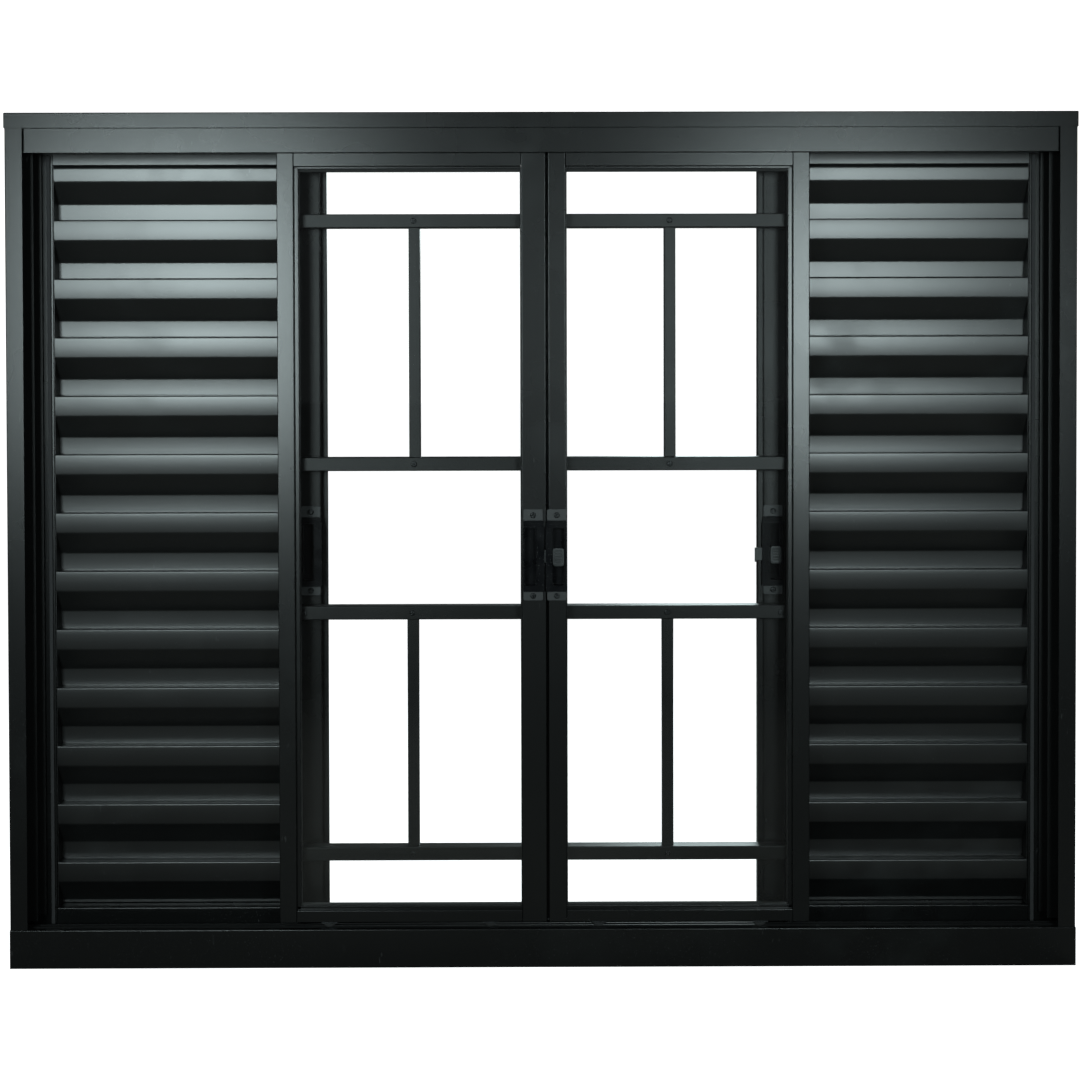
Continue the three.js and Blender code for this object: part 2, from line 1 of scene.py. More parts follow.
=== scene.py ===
"""The looks of a steel sliding window with a built-in security grille.

Every piece is made in metres in the part's own frame: +X along the width, +Y from the room to the
outside, +Z up. Depths are counted from the room-side face, as on the drawings of the frame.
"""

from __future__ import annotations

import json
import logging
import math
from collections.abc import Callable, Iterable, Sequence
from dataclasses import dataclass, field
from enum import Enum

import bpy
from mathutils import Matrix, Vector

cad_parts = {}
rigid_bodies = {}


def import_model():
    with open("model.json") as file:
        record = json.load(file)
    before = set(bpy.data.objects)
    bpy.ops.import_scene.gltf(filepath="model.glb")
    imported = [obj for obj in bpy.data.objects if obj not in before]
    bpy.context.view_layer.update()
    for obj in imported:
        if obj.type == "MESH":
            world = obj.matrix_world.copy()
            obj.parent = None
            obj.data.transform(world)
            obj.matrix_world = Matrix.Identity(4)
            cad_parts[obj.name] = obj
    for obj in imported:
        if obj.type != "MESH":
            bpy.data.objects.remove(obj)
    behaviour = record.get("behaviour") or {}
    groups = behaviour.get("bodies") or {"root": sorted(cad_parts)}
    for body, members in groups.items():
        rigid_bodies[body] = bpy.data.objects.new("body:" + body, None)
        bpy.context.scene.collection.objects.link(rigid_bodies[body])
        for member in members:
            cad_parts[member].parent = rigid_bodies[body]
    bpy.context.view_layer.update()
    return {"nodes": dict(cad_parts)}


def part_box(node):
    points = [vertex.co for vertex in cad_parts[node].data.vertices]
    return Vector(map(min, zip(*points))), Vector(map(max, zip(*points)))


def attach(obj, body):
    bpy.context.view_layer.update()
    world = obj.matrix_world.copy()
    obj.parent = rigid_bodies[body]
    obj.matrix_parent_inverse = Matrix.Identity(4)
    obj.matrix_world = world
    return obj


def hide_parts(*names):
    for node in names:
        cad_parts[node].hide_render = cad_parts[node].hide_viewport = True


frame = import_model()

LOG = logging.getLogger("sliding_window")
MM = 0.001
HALF_DEPTH = 70.0

Point = tuple[float, float]
Colour = tuple[float, float, float, float]


def depth(distance: float) -> float:
    """Gives the Y of a depth in millimetres from the room-side face."""
    return distance - HALF_DEPTH


class Side(Enum):
    """A side of the window as seen from the room."""

    LEFT = -1
    RIGHT = 1

    @property
    def word(self) -> str:
        """The side's name as it stands in node names."""
        return self.name.lower()


class Run(Enum):
    """The direction in which a section runs, with the turn that takes local X to it."""

    ACROSS = "x"
    UP = "z"

    @property
    def matrix(self) -> Matrix:
        """The rotation from the bench, where sections lie in YZ and run along X, to the part."""
        if self is Run.ACROSS:
            return Matrix.Identity(4)
        return Matrix(((0, 1, 0, 0), (0, 0, 1, 0), (1, 0, 0, 0), (0, 0, 0, 1)))


# ------------------------------------------------------------------------------------ finishes


class Nodes:
    """A thin wrapper that adds and links shader nodes in one tree."""

    def __init__(self, tree: bpy.types.NodeTree) -> None:
        """Keeps the tree and empties it."""
        self.tree = tree
        tree.nodes.clear()

    def add(self, kind: str, values: dict[str, object] | None = None, **settings: object) -> bpy.types.Node:
        """Adds a node.

        Args:
            kind: The node's type name.
            values: Input socket values by socket name.
            settings: Properties of the node itself.

        Returns:
            The new node.
        """
        node = self.tree.nodes.new(kind)
        for key, value in settings.items():
            setattr(node, key, value)
        for key, value in (values or {}).items():
            node.inputs[key].default_value = value
        return node

    def link(self, source: bpy.types.NodeSocket, target: bpy.types.NodeSocket) -> None:
        """Links an output socket to an input socket."""
        self.tree.links.new(source, target)

    def math(self, operation: str, a: object, b: object, clamp: bool = False) -> bpy.types.NodeSocket:
        """Adds a Math node.

        Args:
            operation: The operation's name.
            a: A socket or a number.
            b: A socket or a number.
            clamp: Whether the result stays between 0 and 1.

        Returns:
            The result socket.
        """
        node = self.add("ShaderNodeMath", operation=operation, use_clamp=clamp)
        for slot, value in enumerate((a, b)):
            if isinstance(value, bpy.types.NodeSocket):
                self.link(value, node.inputs[slot])
            else:
                node.inputs[slot].default_value = value
        return node.outputs[0]

    def noise(
        self, vector: bpy.types.NodeSocket, scale: object, detail: float, rough: float = 0.5
    ) -> bpy.types.NodeSocket:
        """Adds a noise pattern and returns its value socket."""
        node = self.add("ShaderNodeTexNoise", {"Detail": detail, "Roughness": rough})
        self.link(vector, node.inputs["Vector"])
        if isinstance(scale, bpy.types.NodeSocket):
            self.link(scale, node.inputs["Scale"])
        else:
            node.inputs["Scale"].default_value = scale
        return node.outputs["Fac"]

    def band(
        self, value: bpy.types.NodeSocket, low: float, high: float, start: float = 0.0, end: float = 1.0
    ) -> bpy.types.NodeSocket:
        """Maps low..high of a value to start..end, clamped, and returns the result socket."""
        node = self.add(
            "ShaderNodeMapRange", {"From Min": low, "From Max": high, "To Min": start, "To Max": end}
        )
        self.link(value, node.inputs["Value"])
        return node.outputs["Result"]

    def blend(self, share: bpy.types.NodeSocket, a: object, b: object) -> bpy.types.NodeSocket:
        """Mixes two colours, each a socket or a colour, and returns the result socket."""
        node = self.add("ShaderNodeMix", data_type="RGBA")
        self.link(share, node.inputs[0])
        for slot, value in ((6, a), (7, b)):
            if isinstance(value, bpy.types.NodeSocket):
                self.link(value, node.inputs[slot])
            else:
                node.inputs[slot].default_value = value
        return node.outputs[2]


class Effects:
    """The shader groups that the finishes share. Each is built once."""

    _made: dict[str, bpy.types.NodeTree] = {}

    @classmethod
    def group(
        cls, name: str, inputs: dict[str, str], outputs: dict[str, str],
        wire: Callable[[Nodes, bpy.types.Node, bpy.types.Node], None],
    ) -> bpy.types.NodeTree:
        """Makes a group, or returns it if it is there.

        Args:
            name: The group's name.
            inputs: Socket types by input name.
            outputs: Socket types by output name.
            wire: Fills the group between its input and output nodes.

        Returns:
            The group's node tree.
        """
        if name not in cls._made:
            tree = bpy.data.node_groups.new(name, "ShaderNodeTree")
            for label, kind in inputs.items():
                tree.interface.new_socket(label, in_out="INPUT", socket_type=kind)
            for label, kind in outputs.items():
                tree.interface.new_socket(label, in_out="OUTPUT", socket_type=kind)
            nodes = Nodes(tree)
            wire(nodes, nodes.add("NodeGroupInput"), nodes.add("NodeGroupOutput"))
            cls._made[name] = tree
        return cls._made[name]

    @classmethod
    def orange_peel(cls) -> bpy.types.NodeTree:
        """The fine bumps of sprayed and baked powder: gives a height."""

        def wire(n: Nodes, source: bpy.types.Node, result: bpy.types.Node) -> None:
            """Adds a coarse ripple to a fine grain."""
            fine = n.noise(source.outputs["Vector"], source.outputs["Scale"], 2.0)
            coarse = n.noise(source.outputs["Vector"], n.math("MULTIPLY", source.outputs["Scale"], 0.22), 1.0)
            n.link(
                n.math("ADD", n.math("MULTIPLY", fine, 0.45), n.math("MULTIPLY", coarse, 0.55)),
                result.inputs["Height"]
            )

        sockets = {"Vector": "NodeSocketVector", "Scale": "NodeSocketFloat"}
        return cls.group("Orange peel", sockets, {"Height": "NodeSocketFloat"}, wire)

    @classmethod
    def handling(cls) -> bpy.types.NodeTree:
        """Palm smears, fine scuffs and settled dust: gives a smear mask, a scuff mask and a dust mask."""

        def wire(n: Nodes, source: bpy.types.Node, result: bpy.types.Node) -> None:
            """Breaks clouds up by larger ones, so that the marks come in patches."""
            vector = source.outputs["Vector"]
            patches = n.band(n.noise(vector, 3.1, 2.0), 0.5, 0.68)
            smears = n.band(n.noise(vector, 17.0, 2.5, 0.5), 0.42, 0.8)
            n.link(n.math("MULTIPLY", patches, smears, True), result.inputs["Smears"])
            stretch = n.add("ShaderNodeMapping", {"Rotation": (0.3, 0.5, 0.2), "Scale": (1.0, 6.0, 0.25)})
            n.link(vector, stretch.inputs["Vector"])
            hairs = n.band(n.noise(stretch.outputs["Vector"], 160.0, 2.0, 0.4), 0.71, 0.75)
            n.link(
                n.math("MULTIPLY", hairs, n.band(n.noise(vector, 9.0, 1.0), 0.55, 0.6), True),
                result.inputs["Scuffs"]
            )
            specks = n.band(n.noise(vector, 620.0, 1.0), 0.7, 0.78)
            n.link(
                n.math("MULTIPLY", specks, n.band(n.noise(vector, 6.0, 2.0), 0.42, 0.66), True),
                result.inputs["Dust"]
            )

        masks = {"Smears": "NodeSocketFloat", "Scuffs": "NodeSocketFloat", "Dust": "NodeSocketFloat"}
        return cls.group("Handling marks", {"Vector": "NodeSocketVector"}, masks, wire)


@dataclass(frozen=True)
class Finish:
    """A finish: its name, colour and sheen. A subclass wires its pattern."""

    name: str
    colour: Colour
    roughness: float
    metallic: float = 0.0
    slot: str = "black_steel"
    gloss: float = 0.5

    def material(self) -> bpy.types.Material:
        """Makes the material, or returns it if it is there."""
        found = bpy.data.materials.get(self.name)
        if found is not None:
            return found
        made = bpy.data.materials.new(self.name)
        made.use_nodes = True
        nodes = Nodes(made.node_tree)
        shader = nodes.add(
            "ShaderNodeBsdfPrincipled",
            {
                "Base Color": self.colour, "Roughness": self.roughness, "Metallic": self.metallic,
                "Specular IOR Level": self.gloss,
            },
        )
        out = nodes.add("ShaderNodeOutputMaterial")
        nodes.link(shader.outputs["BSDF"], out.inputs["Surface"])
        place = nodes.add("ShaderNodeTexCoord")
        self.wire(nodes, shader, place.outputs["Object"])
        return made

    def wire(self, n: Nodes, shader: bpy.types.Node, place: bpy.types.NodeSocket) -> None:
        """Wires the finish's pattern to the shader. The plain finish has none."""

    def relief(
        self, n: Nodes, shader: bpy.types.Node, height: bpy.types.NodeSocket, distance: float, strength: float
    ) -> None:
        """Feeds a height into the shader's normal.

        Args:
            n: The tree's wrapper.
            shader: The shader whose normal is bumped.
            height: The height socket.
            distance: The relief's depth in metres.
            strength: The share of it that shows.
        """
        bump = n.add("ShaderNodeBump", {"Distance": distance, "Strength": strength})
        n.link(height, bump.inputs["Height"])
        n.link(bump.outputs["Normal"], shader.inputs["Normal"])


@dataclass(frozen=True)
class PowderCoat(Finish):
    """Baked black powder coat on steel, with its grain, smears, scuffs and dust."""

    smear: Colour = (0.009, 0.0105, 0.0105, 1.0)
    dust: Colour = (0.16, 0.165, 0.165, 1.0)
    spread: float = 0.07
    smears: float = 1.0
    grain: float = 900.0
    grain_height: float = 0.00006

    def wire(self, n: Nodes, shader: bpy.types.Node, place: bpy.types.NodeSocket) -> None:
        """Feeds the marks into colour and roughness, and the grain into the normal."""
        marks = n.add("ShaderNodeGroup", node_tree=Effects.handling())
        n.link(place, marks.inputs["Vector"])
        smears = n.math("MULTIPLY", marks.outputs["Smears"], self.smears, True)
        clouds = n.noise(place, 5.5, 3.0)
        tone = tuple(min(1.0, c * 1.35) for c in self.colour[:3]) + (1.0,)
        colour = n.blend(clouds, self.colour, tone)
        colour = n.blend(n.math("MULTIPLY", smears, 0.7), colour, self.smear)
        colour = n.blend(n.math("MULTIPLY", marks.outputs["Scuffs"], 0.12), colour, self.dust)
        colour = n.blend(n.math("MULTIPLY", marks.outputs["Dust"], 0.3), colour, self.dust)
        n.link(colour, shader.inputs["Base Color"])
        wear = n.math(
            "ADD", n.math("MULTIPLY", smears, 0.9), n.math("MULTIPLY", n.math("SUBTRACT", clouds, 0.5), 0.3)
        )
        rough = n.math("ADD", n.math("MULTIPLY", wear, self.spread), self.roughness, True)
        n.link(rough, shader.inputs["Roughness"])
        peel = n.add("ShaderNodeGroup", {"Scale": self.grain}, node_tree=Effects.orange_peel())
        n.link(place, peel.inputs["Vector"])
        self.relief(n, shader, peel.outputs["Height"], self.grain_height, 0.55)


@dataclass(frozen=True)
class Moulded(Finish):
    """Moulded plastic with a fine spark-eroded grain and a little wear."""

    worn: Colour = (0.07, 0.075, 0.078, 1.0)
    grain: float = 1500.0
    grain_height: float = 0.00008

    def wire(self, n: Nodes, shader: bpy.types.Node, place: bpy.types.NodeSocket) -> None:
        """Feeds smears into colour and roughness, and the grain into the normal."""
        marks = n.add("ShaderNodeGroup", node_tree=Effects.handling())
        n.link(place, marks.inputs["Vector"])
        clouds = n.noise(place, 42.0, 4.0)
        share = n.math(
            "ADD", n.math("MULTIPLY", clouds, 0.35), n.math("MULTIPLY", marks.outputs["Smears"], 0.4), True
        )
        colour = n.blend(share, self.colour, self.worn)
        n.link(
            n.blend(n.math("MULTIPLY", marks.outputs["Dust"], 0.7), colour, (0.2, 0.2, 0.2, 1.0)),
            shader.inputs["Base Color"]
        )
        n.link(
            n.band(clouds, 0.3, 0.7, self.roughness - 0.06, self.roughness + 0.08), shader.inputs["Roughness"]
        )
        peel = n.add("ShaderNodeGroup", {"Scale": self.grain}, node_tree=Effects.orange_peel())
        n.link(place, peel.inputs["Vector"])
        self.relief(n, shader, peel.outputs["Height"], self.grain_height, 0.7)


@dataclass(frozen=True)
class Metal(Finish):
    """Bare or plated metal with fine turning marks."""

    bright: Colour = (0.3, 0.3, 0.3, 1.0)

    def wire(self, n: Nodes, shader: bpy.types.Node, place: bpy.types.NodeSocket) -> None:
        """Mottles the plating and feeds it into colour, roughness and relief."""
        mottle = n.noise(place, 700.0, 3.0)
        n.link(n.blend(n.band(mottle, 0.45, 0.7), self.colour, self.bright), shader.inputs["Base Color"])
        n.link(
            n.band(mottle, 0.3, 0.7, self.roughness - 0.08, self.roughness + 0.12), shader.inputs["Roughness"]
        )
        self.relief(n, shader, mottle, 0.00004, 0.4)


@dataclass(frozen=True)
class ClearGlass(Finish):
    """Float glass: clear, faintly green, with a trace of dust."""

    slot: str = "clear_glass"

    def wire(self, n: Nodes, shader: bpy.types.Node, place: bpy.types.NodeSocket) -> None:
        """Sets the plain glass values and lets dust roughen it a little."""
        shader.inputs["Transmission Weight"].default_value = 1.0
        shader.inputs["IOR"].default_value = 1.5
        n.link(n.band(n.noise(place, 11.0, 4.0), 0.5, 0.85, 0.0, 0.05), shader.inputs["Roughness"])
        path, clear = n.add("ShaderNodeLightPath"), n.add("ShaderNodeBsdfTransparent")
        mix, out = n.add("ShaderNodeMixShader"), shader.outputs["BSDF"].links[0].to_node
        n.link(path.outputs["Is Shadow Ray"], mix.inputs[0])
        n.link(shader.outputs["BSDF"], mix.inputs[1])
        n.link(clear.outputs["BSDF"], mix.inputs[2])
        n.link(mix.outputs["Shader"], out.inputs["Surface"])


@dataclass(frozen=True)
class Rubber(Finish):
    """Extruded glazing rubber with draw lines and bloom."""

    bloom: Colour = (0.03, 0.03, 0.031, 1.0)
    slot: str = "glazing_rubber"

    def wire(self, n: Nodes, shader: bpy.types.Node, place: bpy.types.NodeSocket) -> None:
        """Feeds the bloom into colour and the draw lines into the normal."""
        bloom = n.band(n.noise(place, 30.0, 5.0), 0.45, 0.75)
        n.link(n.blend(bloom, self.colour, self.bloom), shader.inputs["Base Color"])
        n.link(n.band(bloom, 0.0, 1.0, self.roughness - 0.1, self.roughness), shader.inputs["Roughness"])
        self.relief(n, shader, n.noise(place, 1100.0, 1.0), 0.00005, 0.5)


@dataclass(frozen=True)
class Pile(Finish):
    """Woven pile of a draught seal, as short upright hairs."""

    tip: Colour = (0.05, 0.05, 0.052, 1.0)

    def wire(self, n: Nodes, shader: bpy.types.Node, place: bpy.types.NodeSocket) -> None:
        """Stretches a fine noise into hairs for colour and relief."""
        stretch = n.add("ShaderNodeMapping", {"Scale": (1.0, 0.2, 1.0)})
        n.link(place, stretch.inputs["Vector"])
        hairs = n.noise(stretch.outputs["Vector"], 2600.0, 2.0)
        n.link(n.blend(n.band(hairs, 0.4, 0.65), self.colour, self.tip), shader.inputs["Base Color"])
        self.relief(n, shader, hairs, 0.0003, 0.8)


COAT = PowderCoat("black_powder_coat", (0.004, 0.0042, 0.0042, 1.0), 0.27)
SLAT_COAT = PowderCoat(
    "slat_powder_coat", (0.0042, 0.0044, 0.0044, 1.0), 0.33, gloss=0.85, smears=1.4, spread=0.12
)
TRACK_COAT = PowderCoat("track_powder_coat", (0.0035, 0.0036, 0.0036, 1.0), 0.4, smears=0.8)
TUBE_COAT = PowderCoat("tube_powder_coat", (0.004, 0.0042, 0.0042, 1.0), 0.3, smears=0.7)
# The pull's moulding is black plastic darkened further, below its tabs and the steel, as painted shade for
# its deep trough.
PULL_PLASTIC_PAINTED_SHADE = Moulded(
    "pull_plastic", (0.0018, 0.002, 0.0028, 1.0), 0.3, slot="handle_plastic",
    worn=(0.004, 0.0045, 0.006, 1.0),
    grain_height=0.00003, gloss=0.13,
)
TAB_PLASTIC = Moulded(
    "tab_plastic", (0.018, 0.019, 0.02, 1.0), 0.5, slot="handle_plastic", worn=(0.035, 0.037, 0.038, 1.0),
    grain_height=0.00014,
)
THUMB_PLASTIC = Moulded(
    "thumb_plastic", (0.022, 0.024, 0.025, 1.0), 0.36, slot="latch_plastic", worn=(0.05, 0.053, 0.055, 1.0),
)
SCREW_ZINC = Metal(
    "black_zinc_screw", (0.012, 0.0125, 0.013, 1.0), 0.3, 0.8, bright=(0.09, 0.093, 0.096, 1.0)
)
CARRIAGE_ZINC = Metal("plated_carriage", (0.06, 0.062, 0.065, 1.0), 0.4, 0.9, bright=(0.12, 0.12, 0.125, 1.0))
ROLLER_NYLON = Moulded(
    "roller_nylon", (0.008, 0.008, 0.008, 1.0), 0.5, slot="roller_nylon", worn=(0.02, 0.02, 0.02, 1.0)
)
GLASS = ClearGlass("clear_float_glass", (0.97, 0.99, 0.985, 1.0), 0.0)
RUBBER = Rubber("glazing_rubber", (0.012, 0.012, 0.013, 1.0), 0.72)
PILE = Pile("seal_pile", (0.02, 0.02, 0.021, 1.0), 0.9)


# ------------------------------------------------------------------------------------ workbench


class Bench:
    """The operators that shape pieces, wrapped so that each works on one object only."""

    @staticmethod
    def alone(piece: bpy.types.Object) -> None:
        """Makes a piece the only selected and the active object."""
        bpy.ops.object.select_all(action="DESELECT")
        piece.select_set(True)
        bpy.context.view_layer.objects.active = piece

    @staticmethod
    def added(name: str) -> bpy.types.Object:
        """Names the primitive that was just added, and makes it the only selected object."""
        piece = bpy.context.active_object
        piece.name = name
        piece.data.name = name
        Bench.alone(piece)
        return piece

    @staticmethod
    def select(piece: bpy.types.Object, mode: str, keep: Callable[[object], bool]) -> int:
        """Selects parts of a mesh by a test, and leaves the piece in edit mode.

        Args:
            piece: The piece.
            mode: VERT, EDGE or FACE.
            keep: Tells of a vertex, edge or polygon whether it is selected.

        Returns:
            How many were selected.
        """
        Bench.alone(piece)
        bpy.ops.object.mode_set(mode="EDIT")
        bpy.ops.mesh.select_mode(type=mode)
        bpy.ops.mesh.select_all(action="DESELECT")
        bpy.ops.object.mode_set(mode="OBJECT")
        parts = {"VERT": piece.data.vertices, "EDGE": piece.data.edges, "FACE": piece.data.polygons}[mode]
        count = 0
        for part in parts:
            part.select = bool(keep(part))
            count += part.select
        bpy.ops.object.mode_set(mode="EDIT")
        return count

    @staticmethod
    def leave() -> None:
        """Leaves edit mode."""
        bpy.ops.object.mode_set(mode="OBJECT")

    @staticmethod
    def finish(piece: bpy.types.Object, kind: str, **settings: object) -> None:
        """Adds a modifier with the given settings and applies it."""
        Bench.alone(piece)
        modifier = piece.modifiers.new(kind.lower(), kind)
        for key, value in settings.items():
            setattr(modifier, key, value)
        bpy.ops.object.modifier_apply(modifier=modifier.name)

    @staticmethod
    def round_edges(piece: bpy.types.Object, width: float, segments: int = 2, angle: float = 35.0) -> None:
        """Rounds every edge sharper than an angle, by a width in millimetres."""
        Bench.finish(
            piece, "BEVEL", width=width * MM, segments=segments, limit_method="ANGLE",
            angle_limit=math.radians(angle), use_clamp_overlap=True, miter_outer="MITER_ARC",
        )

    @staticmethod
    def smooth(piece: bpy.types.Object, angle: float = 38.0) -> None:
        """Shades faces smooth where they meet at less than an angle, and keeps wide faces flat."""
        Bench.alone(piece)
        bpy.ops.mesh.customdata_custom_splitnormals_clear()
        bpy.ops.object.shade_smooth_by_angle(angle=math.radians(angle))
        Bench.finish(piece, "WEIGHTED_NORMAL", keep_sharp=True, weight=80)

    @staticmethod
    def place(piece: bpy.types.Object, matrix: Matrix) -> None:
        """Moves a piece by a matrix and applies it, so that its object stays at the origin."""
        Bench.alone(piece)
        piece.matrix_world = matrix
        bpy.ops.object.transform_apply(location=True, rotation=True, scale=True)

    @staticmethod
    def outward(piece: bpy.types.Object) -> None:
        """Merges doubles and turns all faces outwards."""
        Bench.alone(piece)
        bpy.ops.object.mode_set(mode="EDIT")
        bpy.ops.mesh.select_all(action="SELECT")
        bpy.ops.mesh.remove_doubles(threshold=1e-6)
        bpy.ops.mesh.normals_make_consistent(inside=False)
        bpy.ops.object.mode_set(mode="OBJECT")

    @staticmethod
    def copy(piece: bpy.types.Object, name: str, shift: Vector | None = None) -> bpy.types.Object:
        """Copies a piece with its own mesh, and moves the copy's mesh.

        Args:
            piece: The model piece.
            name: The copy's name.
            shift: How far the copy lies from the model piece, in metres.

        Returns:
            The copy.
        """
        Bench.alone(piece)
        bpy.ops.object.duplicate(linked=False)
        twin = Bench.added(name)
        if shift is not None:
            Bench.place(twin, Matrix.Translation(shift))
        return twin

    @staticmethod
    def weld(target: bpy.types.Object, tool: bpy.types.Object, operation: str = "UNION") -> None:
        """Joins a tool to a target, or cuts it out, and removes the tool."""
        Bench.finish(target, "BOOLEAN", object=tool, operation=operation, solver="EXACT")
        bpy.data.objects.remove(tool)

    @staticmethod
    def block(name: str, x: Point, y: Point, z: Point) -> bpy.types.Object:
        """Adds a block by its limits in millimetres."""
        size = [(b - a) * MM for a, b in (x, y, z)]
        middle = [(a + b) / 2 * MM for a, b in (x, y, z)]
        bpy.ops.object.select_all(action="DESELECT")
        bpy.ops.mesh.primitive_cube_add(size=1, location=middle, scale=size)
        piece = Bench.added(name)
        bpy.ops.object.transform_apply(location=True, rotation=True, scale=True)
        return piece


@dataclass
class FoldedSheet:
    """A strip of sheet folded along straight lines.

    The path is the sheet's outer face in section, in millimetres: (y, z) when it runs across and
    (x, y) when it runs up. The sheet's thickness lies to the left of the path, or to its right.
    """

    name: str
    path: Sequence[Point]
    run: Run
    start: float
    end: float
    sheet: float = 1.2
    radius: float = 1.6
    left: bool = True
    edge: float = 0.22
    soft: Sequence[int] = field(default_factory=tuple)

    def build(self) -> bpy.types.Object:
        """Extrudes the strip along its path, rounds its folds and gives it its thickness."""
        length = (self.end - self.start) * MM
        bpy.ops.object.select_all(action="DESELECT")
        bpy.ops.mesh.primitive_plane_add(size=length, location=((self.start + self.end) / 2 * MM, 0, 0))
        piece = Bench.added(self.name)
        bpy.ops.object.transform_apply(location=True, rotation=True, scale=True)
        Bench.select(piece, "VERT", lambda v: v.co.y > 0)
        bpy.ops.mesh.delete(type="VERT")
        bpy.ops.mesh.select_all(action="SELECT")
        first = Vector(self.path[0]) * MM
        bpy.ops.transform.translate(value=(0, first.x + length / 2, first.y))
        bpy.ops.mesh.select_mode(type="EDGE")
        bpy.ops.mesh.select_all(action="SELECT")
        for a, b in zip(self.path, self.path[1:]):
            bpy.ops.mesh.extrude_edges_move(
                TRANSFORM_OT_translate={"value": (0, (b[0] - a[0]) * MM, (b[1] - a[1]) * MM)},
            )
        Bench.leave()
        self._round_folds(piece)
        self._thicken(piece)
        Bench.round_edges(piece, self.edge, 1, 60.0)
        Bench.place(piece, self.run.matrix)
        Bench.smooth(piece)
        return piece

    def _round_folds(self, piece: bpy.types.Object) -> None:
        """Bevels the edges that lie on the path's inner points, but not the soft ones."""
        folds = [Vector(p) * MM for i, p in enumerate(self.path[1:-1], 1) if i not in self.soft]
        if not folds or self.radius <= 0:
            return
        vertices = piece.data.vertices

        def on_fold(edge: bpy.types.MeshEdge) -> bool:
            """Tells whether an edge runs along one of the folds."""
            a, b = (vertices[i].co for i in edge.vertices)
            if abs(a.x - b.x) < 1e-6:
                return False
            return any((Vector((a.y, a.z)) - fold).length < 1e-6 for fold in folds)

        Bench.select(piece, "EDGE", on_fold)
        bpy.ops.mesh.bevel(
            offset=self.radius * MM, segments=4, profile=0.5, affect="EDGES", clamp_overlap=True
        )
        Bench.leave()

    def _thicken(self, piece: bpy.types.Object) -> None:
        """Gives the strip its thickness on the side of the path that was asked for."""
        a, b = (Vector(p) for p in self.path[:2])
        left = Vector((0, a.y - b.y, b.x - a.x)).normalized()
        centre = (a + b) / 2 * MM
        face = min(piece.data.polygons, key=lambda f: (Vector((f.center.y, f.center.z)) - centre).length)
        along = face.normal.dot(left) > 0
        offset = 1.0 if along == self.left else -1.0
        Bench.finish(
            piece, "SOLIDIFY", thickness=self.sheet * MM, offset=offset, use_even_offset=True, use_rim=True,
        )
        Bench.outward(piece)


@dataclass
class SquareTube:
    """A rectangular tube with rolled corners and open ends, by its limits in millimetres."""

    name: str
    x: Point
    y: Point
    z: Point
    run: Run
    wall: float = 1.2
    radius: float = 1.5
    throat: float = 12.0

    def build(self) -> bpy.types.Object:
        """Rounds a block's long edges and hollows its ends."""
        piece = Bench.block(self.name, self.x, self.y, self.z)
        axis = 0 if self.run is Run.ACROSS else 2
        vertices = piece.data.vertices
        Bench.select(
            piece, "EDGE",
            lambda e: abs(vertices[e.vertices[0]].co[axis] - vertices[e.vertices[1]].co[axis]) > 1e-4,
        )
        bpy.ops.mesh.bevel(
            offset=self.radius * MM, segments=4, profile=0.5, affect="EDGES", clamp_overlap=True
        )
        Bench.leave()
        for way in (-1, 1):
            Bench.select(piece, "FACE", lambda f, w=way: f.normal[axis] * w > 0.9)
            bpy.ops.mesh.inset(thickness=self.wall * MM)
            step = [0.0, 0.0, 0.0]
            step[axis] = -way * self.throat * MM
            bpy.ops.mesh.extrude_region_move(TRANSFORM_OT_translate={"value": step})
            Bench.leave()
        Bench.smooth(piece)
        return piece


class Assembly:
    """A group of pieces that ride on one body."""

    body: str

    def show(
        self, piece: bpy.types.Object, finish: Finish, replaces: Iterable[str] = (), body: str | None = None,
    ) -> bpy.types.Object:
        """Args:
            piece: The piece, in its place.
            finish: Its finish.
            replaces: The CAD nodes that it stands for.
            body: The body it rides on, if it isn't the assembly's own.

        Returns:
            The piece.
        """
        piece.data.materials.clear()
        piece.data.materials.append(finish.material())
        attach(piece, body or self.body)
        nodes = list(replaces)
        if nodes:
            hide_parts(*nodes)
        LOG.info("%s rides on %s", piece.name, body or self.body)
        return piece

    def dress(self, node: str, finish: Finish) -> None:
        """Gives a CAD node that stays in view its finish."""
        shown = frame["nodes"][node]
        shown.data.materials.clear()
        shown.data.materials.append(finish.material())
        LOG.info("%s keeps its shape", node)


# ------------------------------------------------------------------------------------ fixings


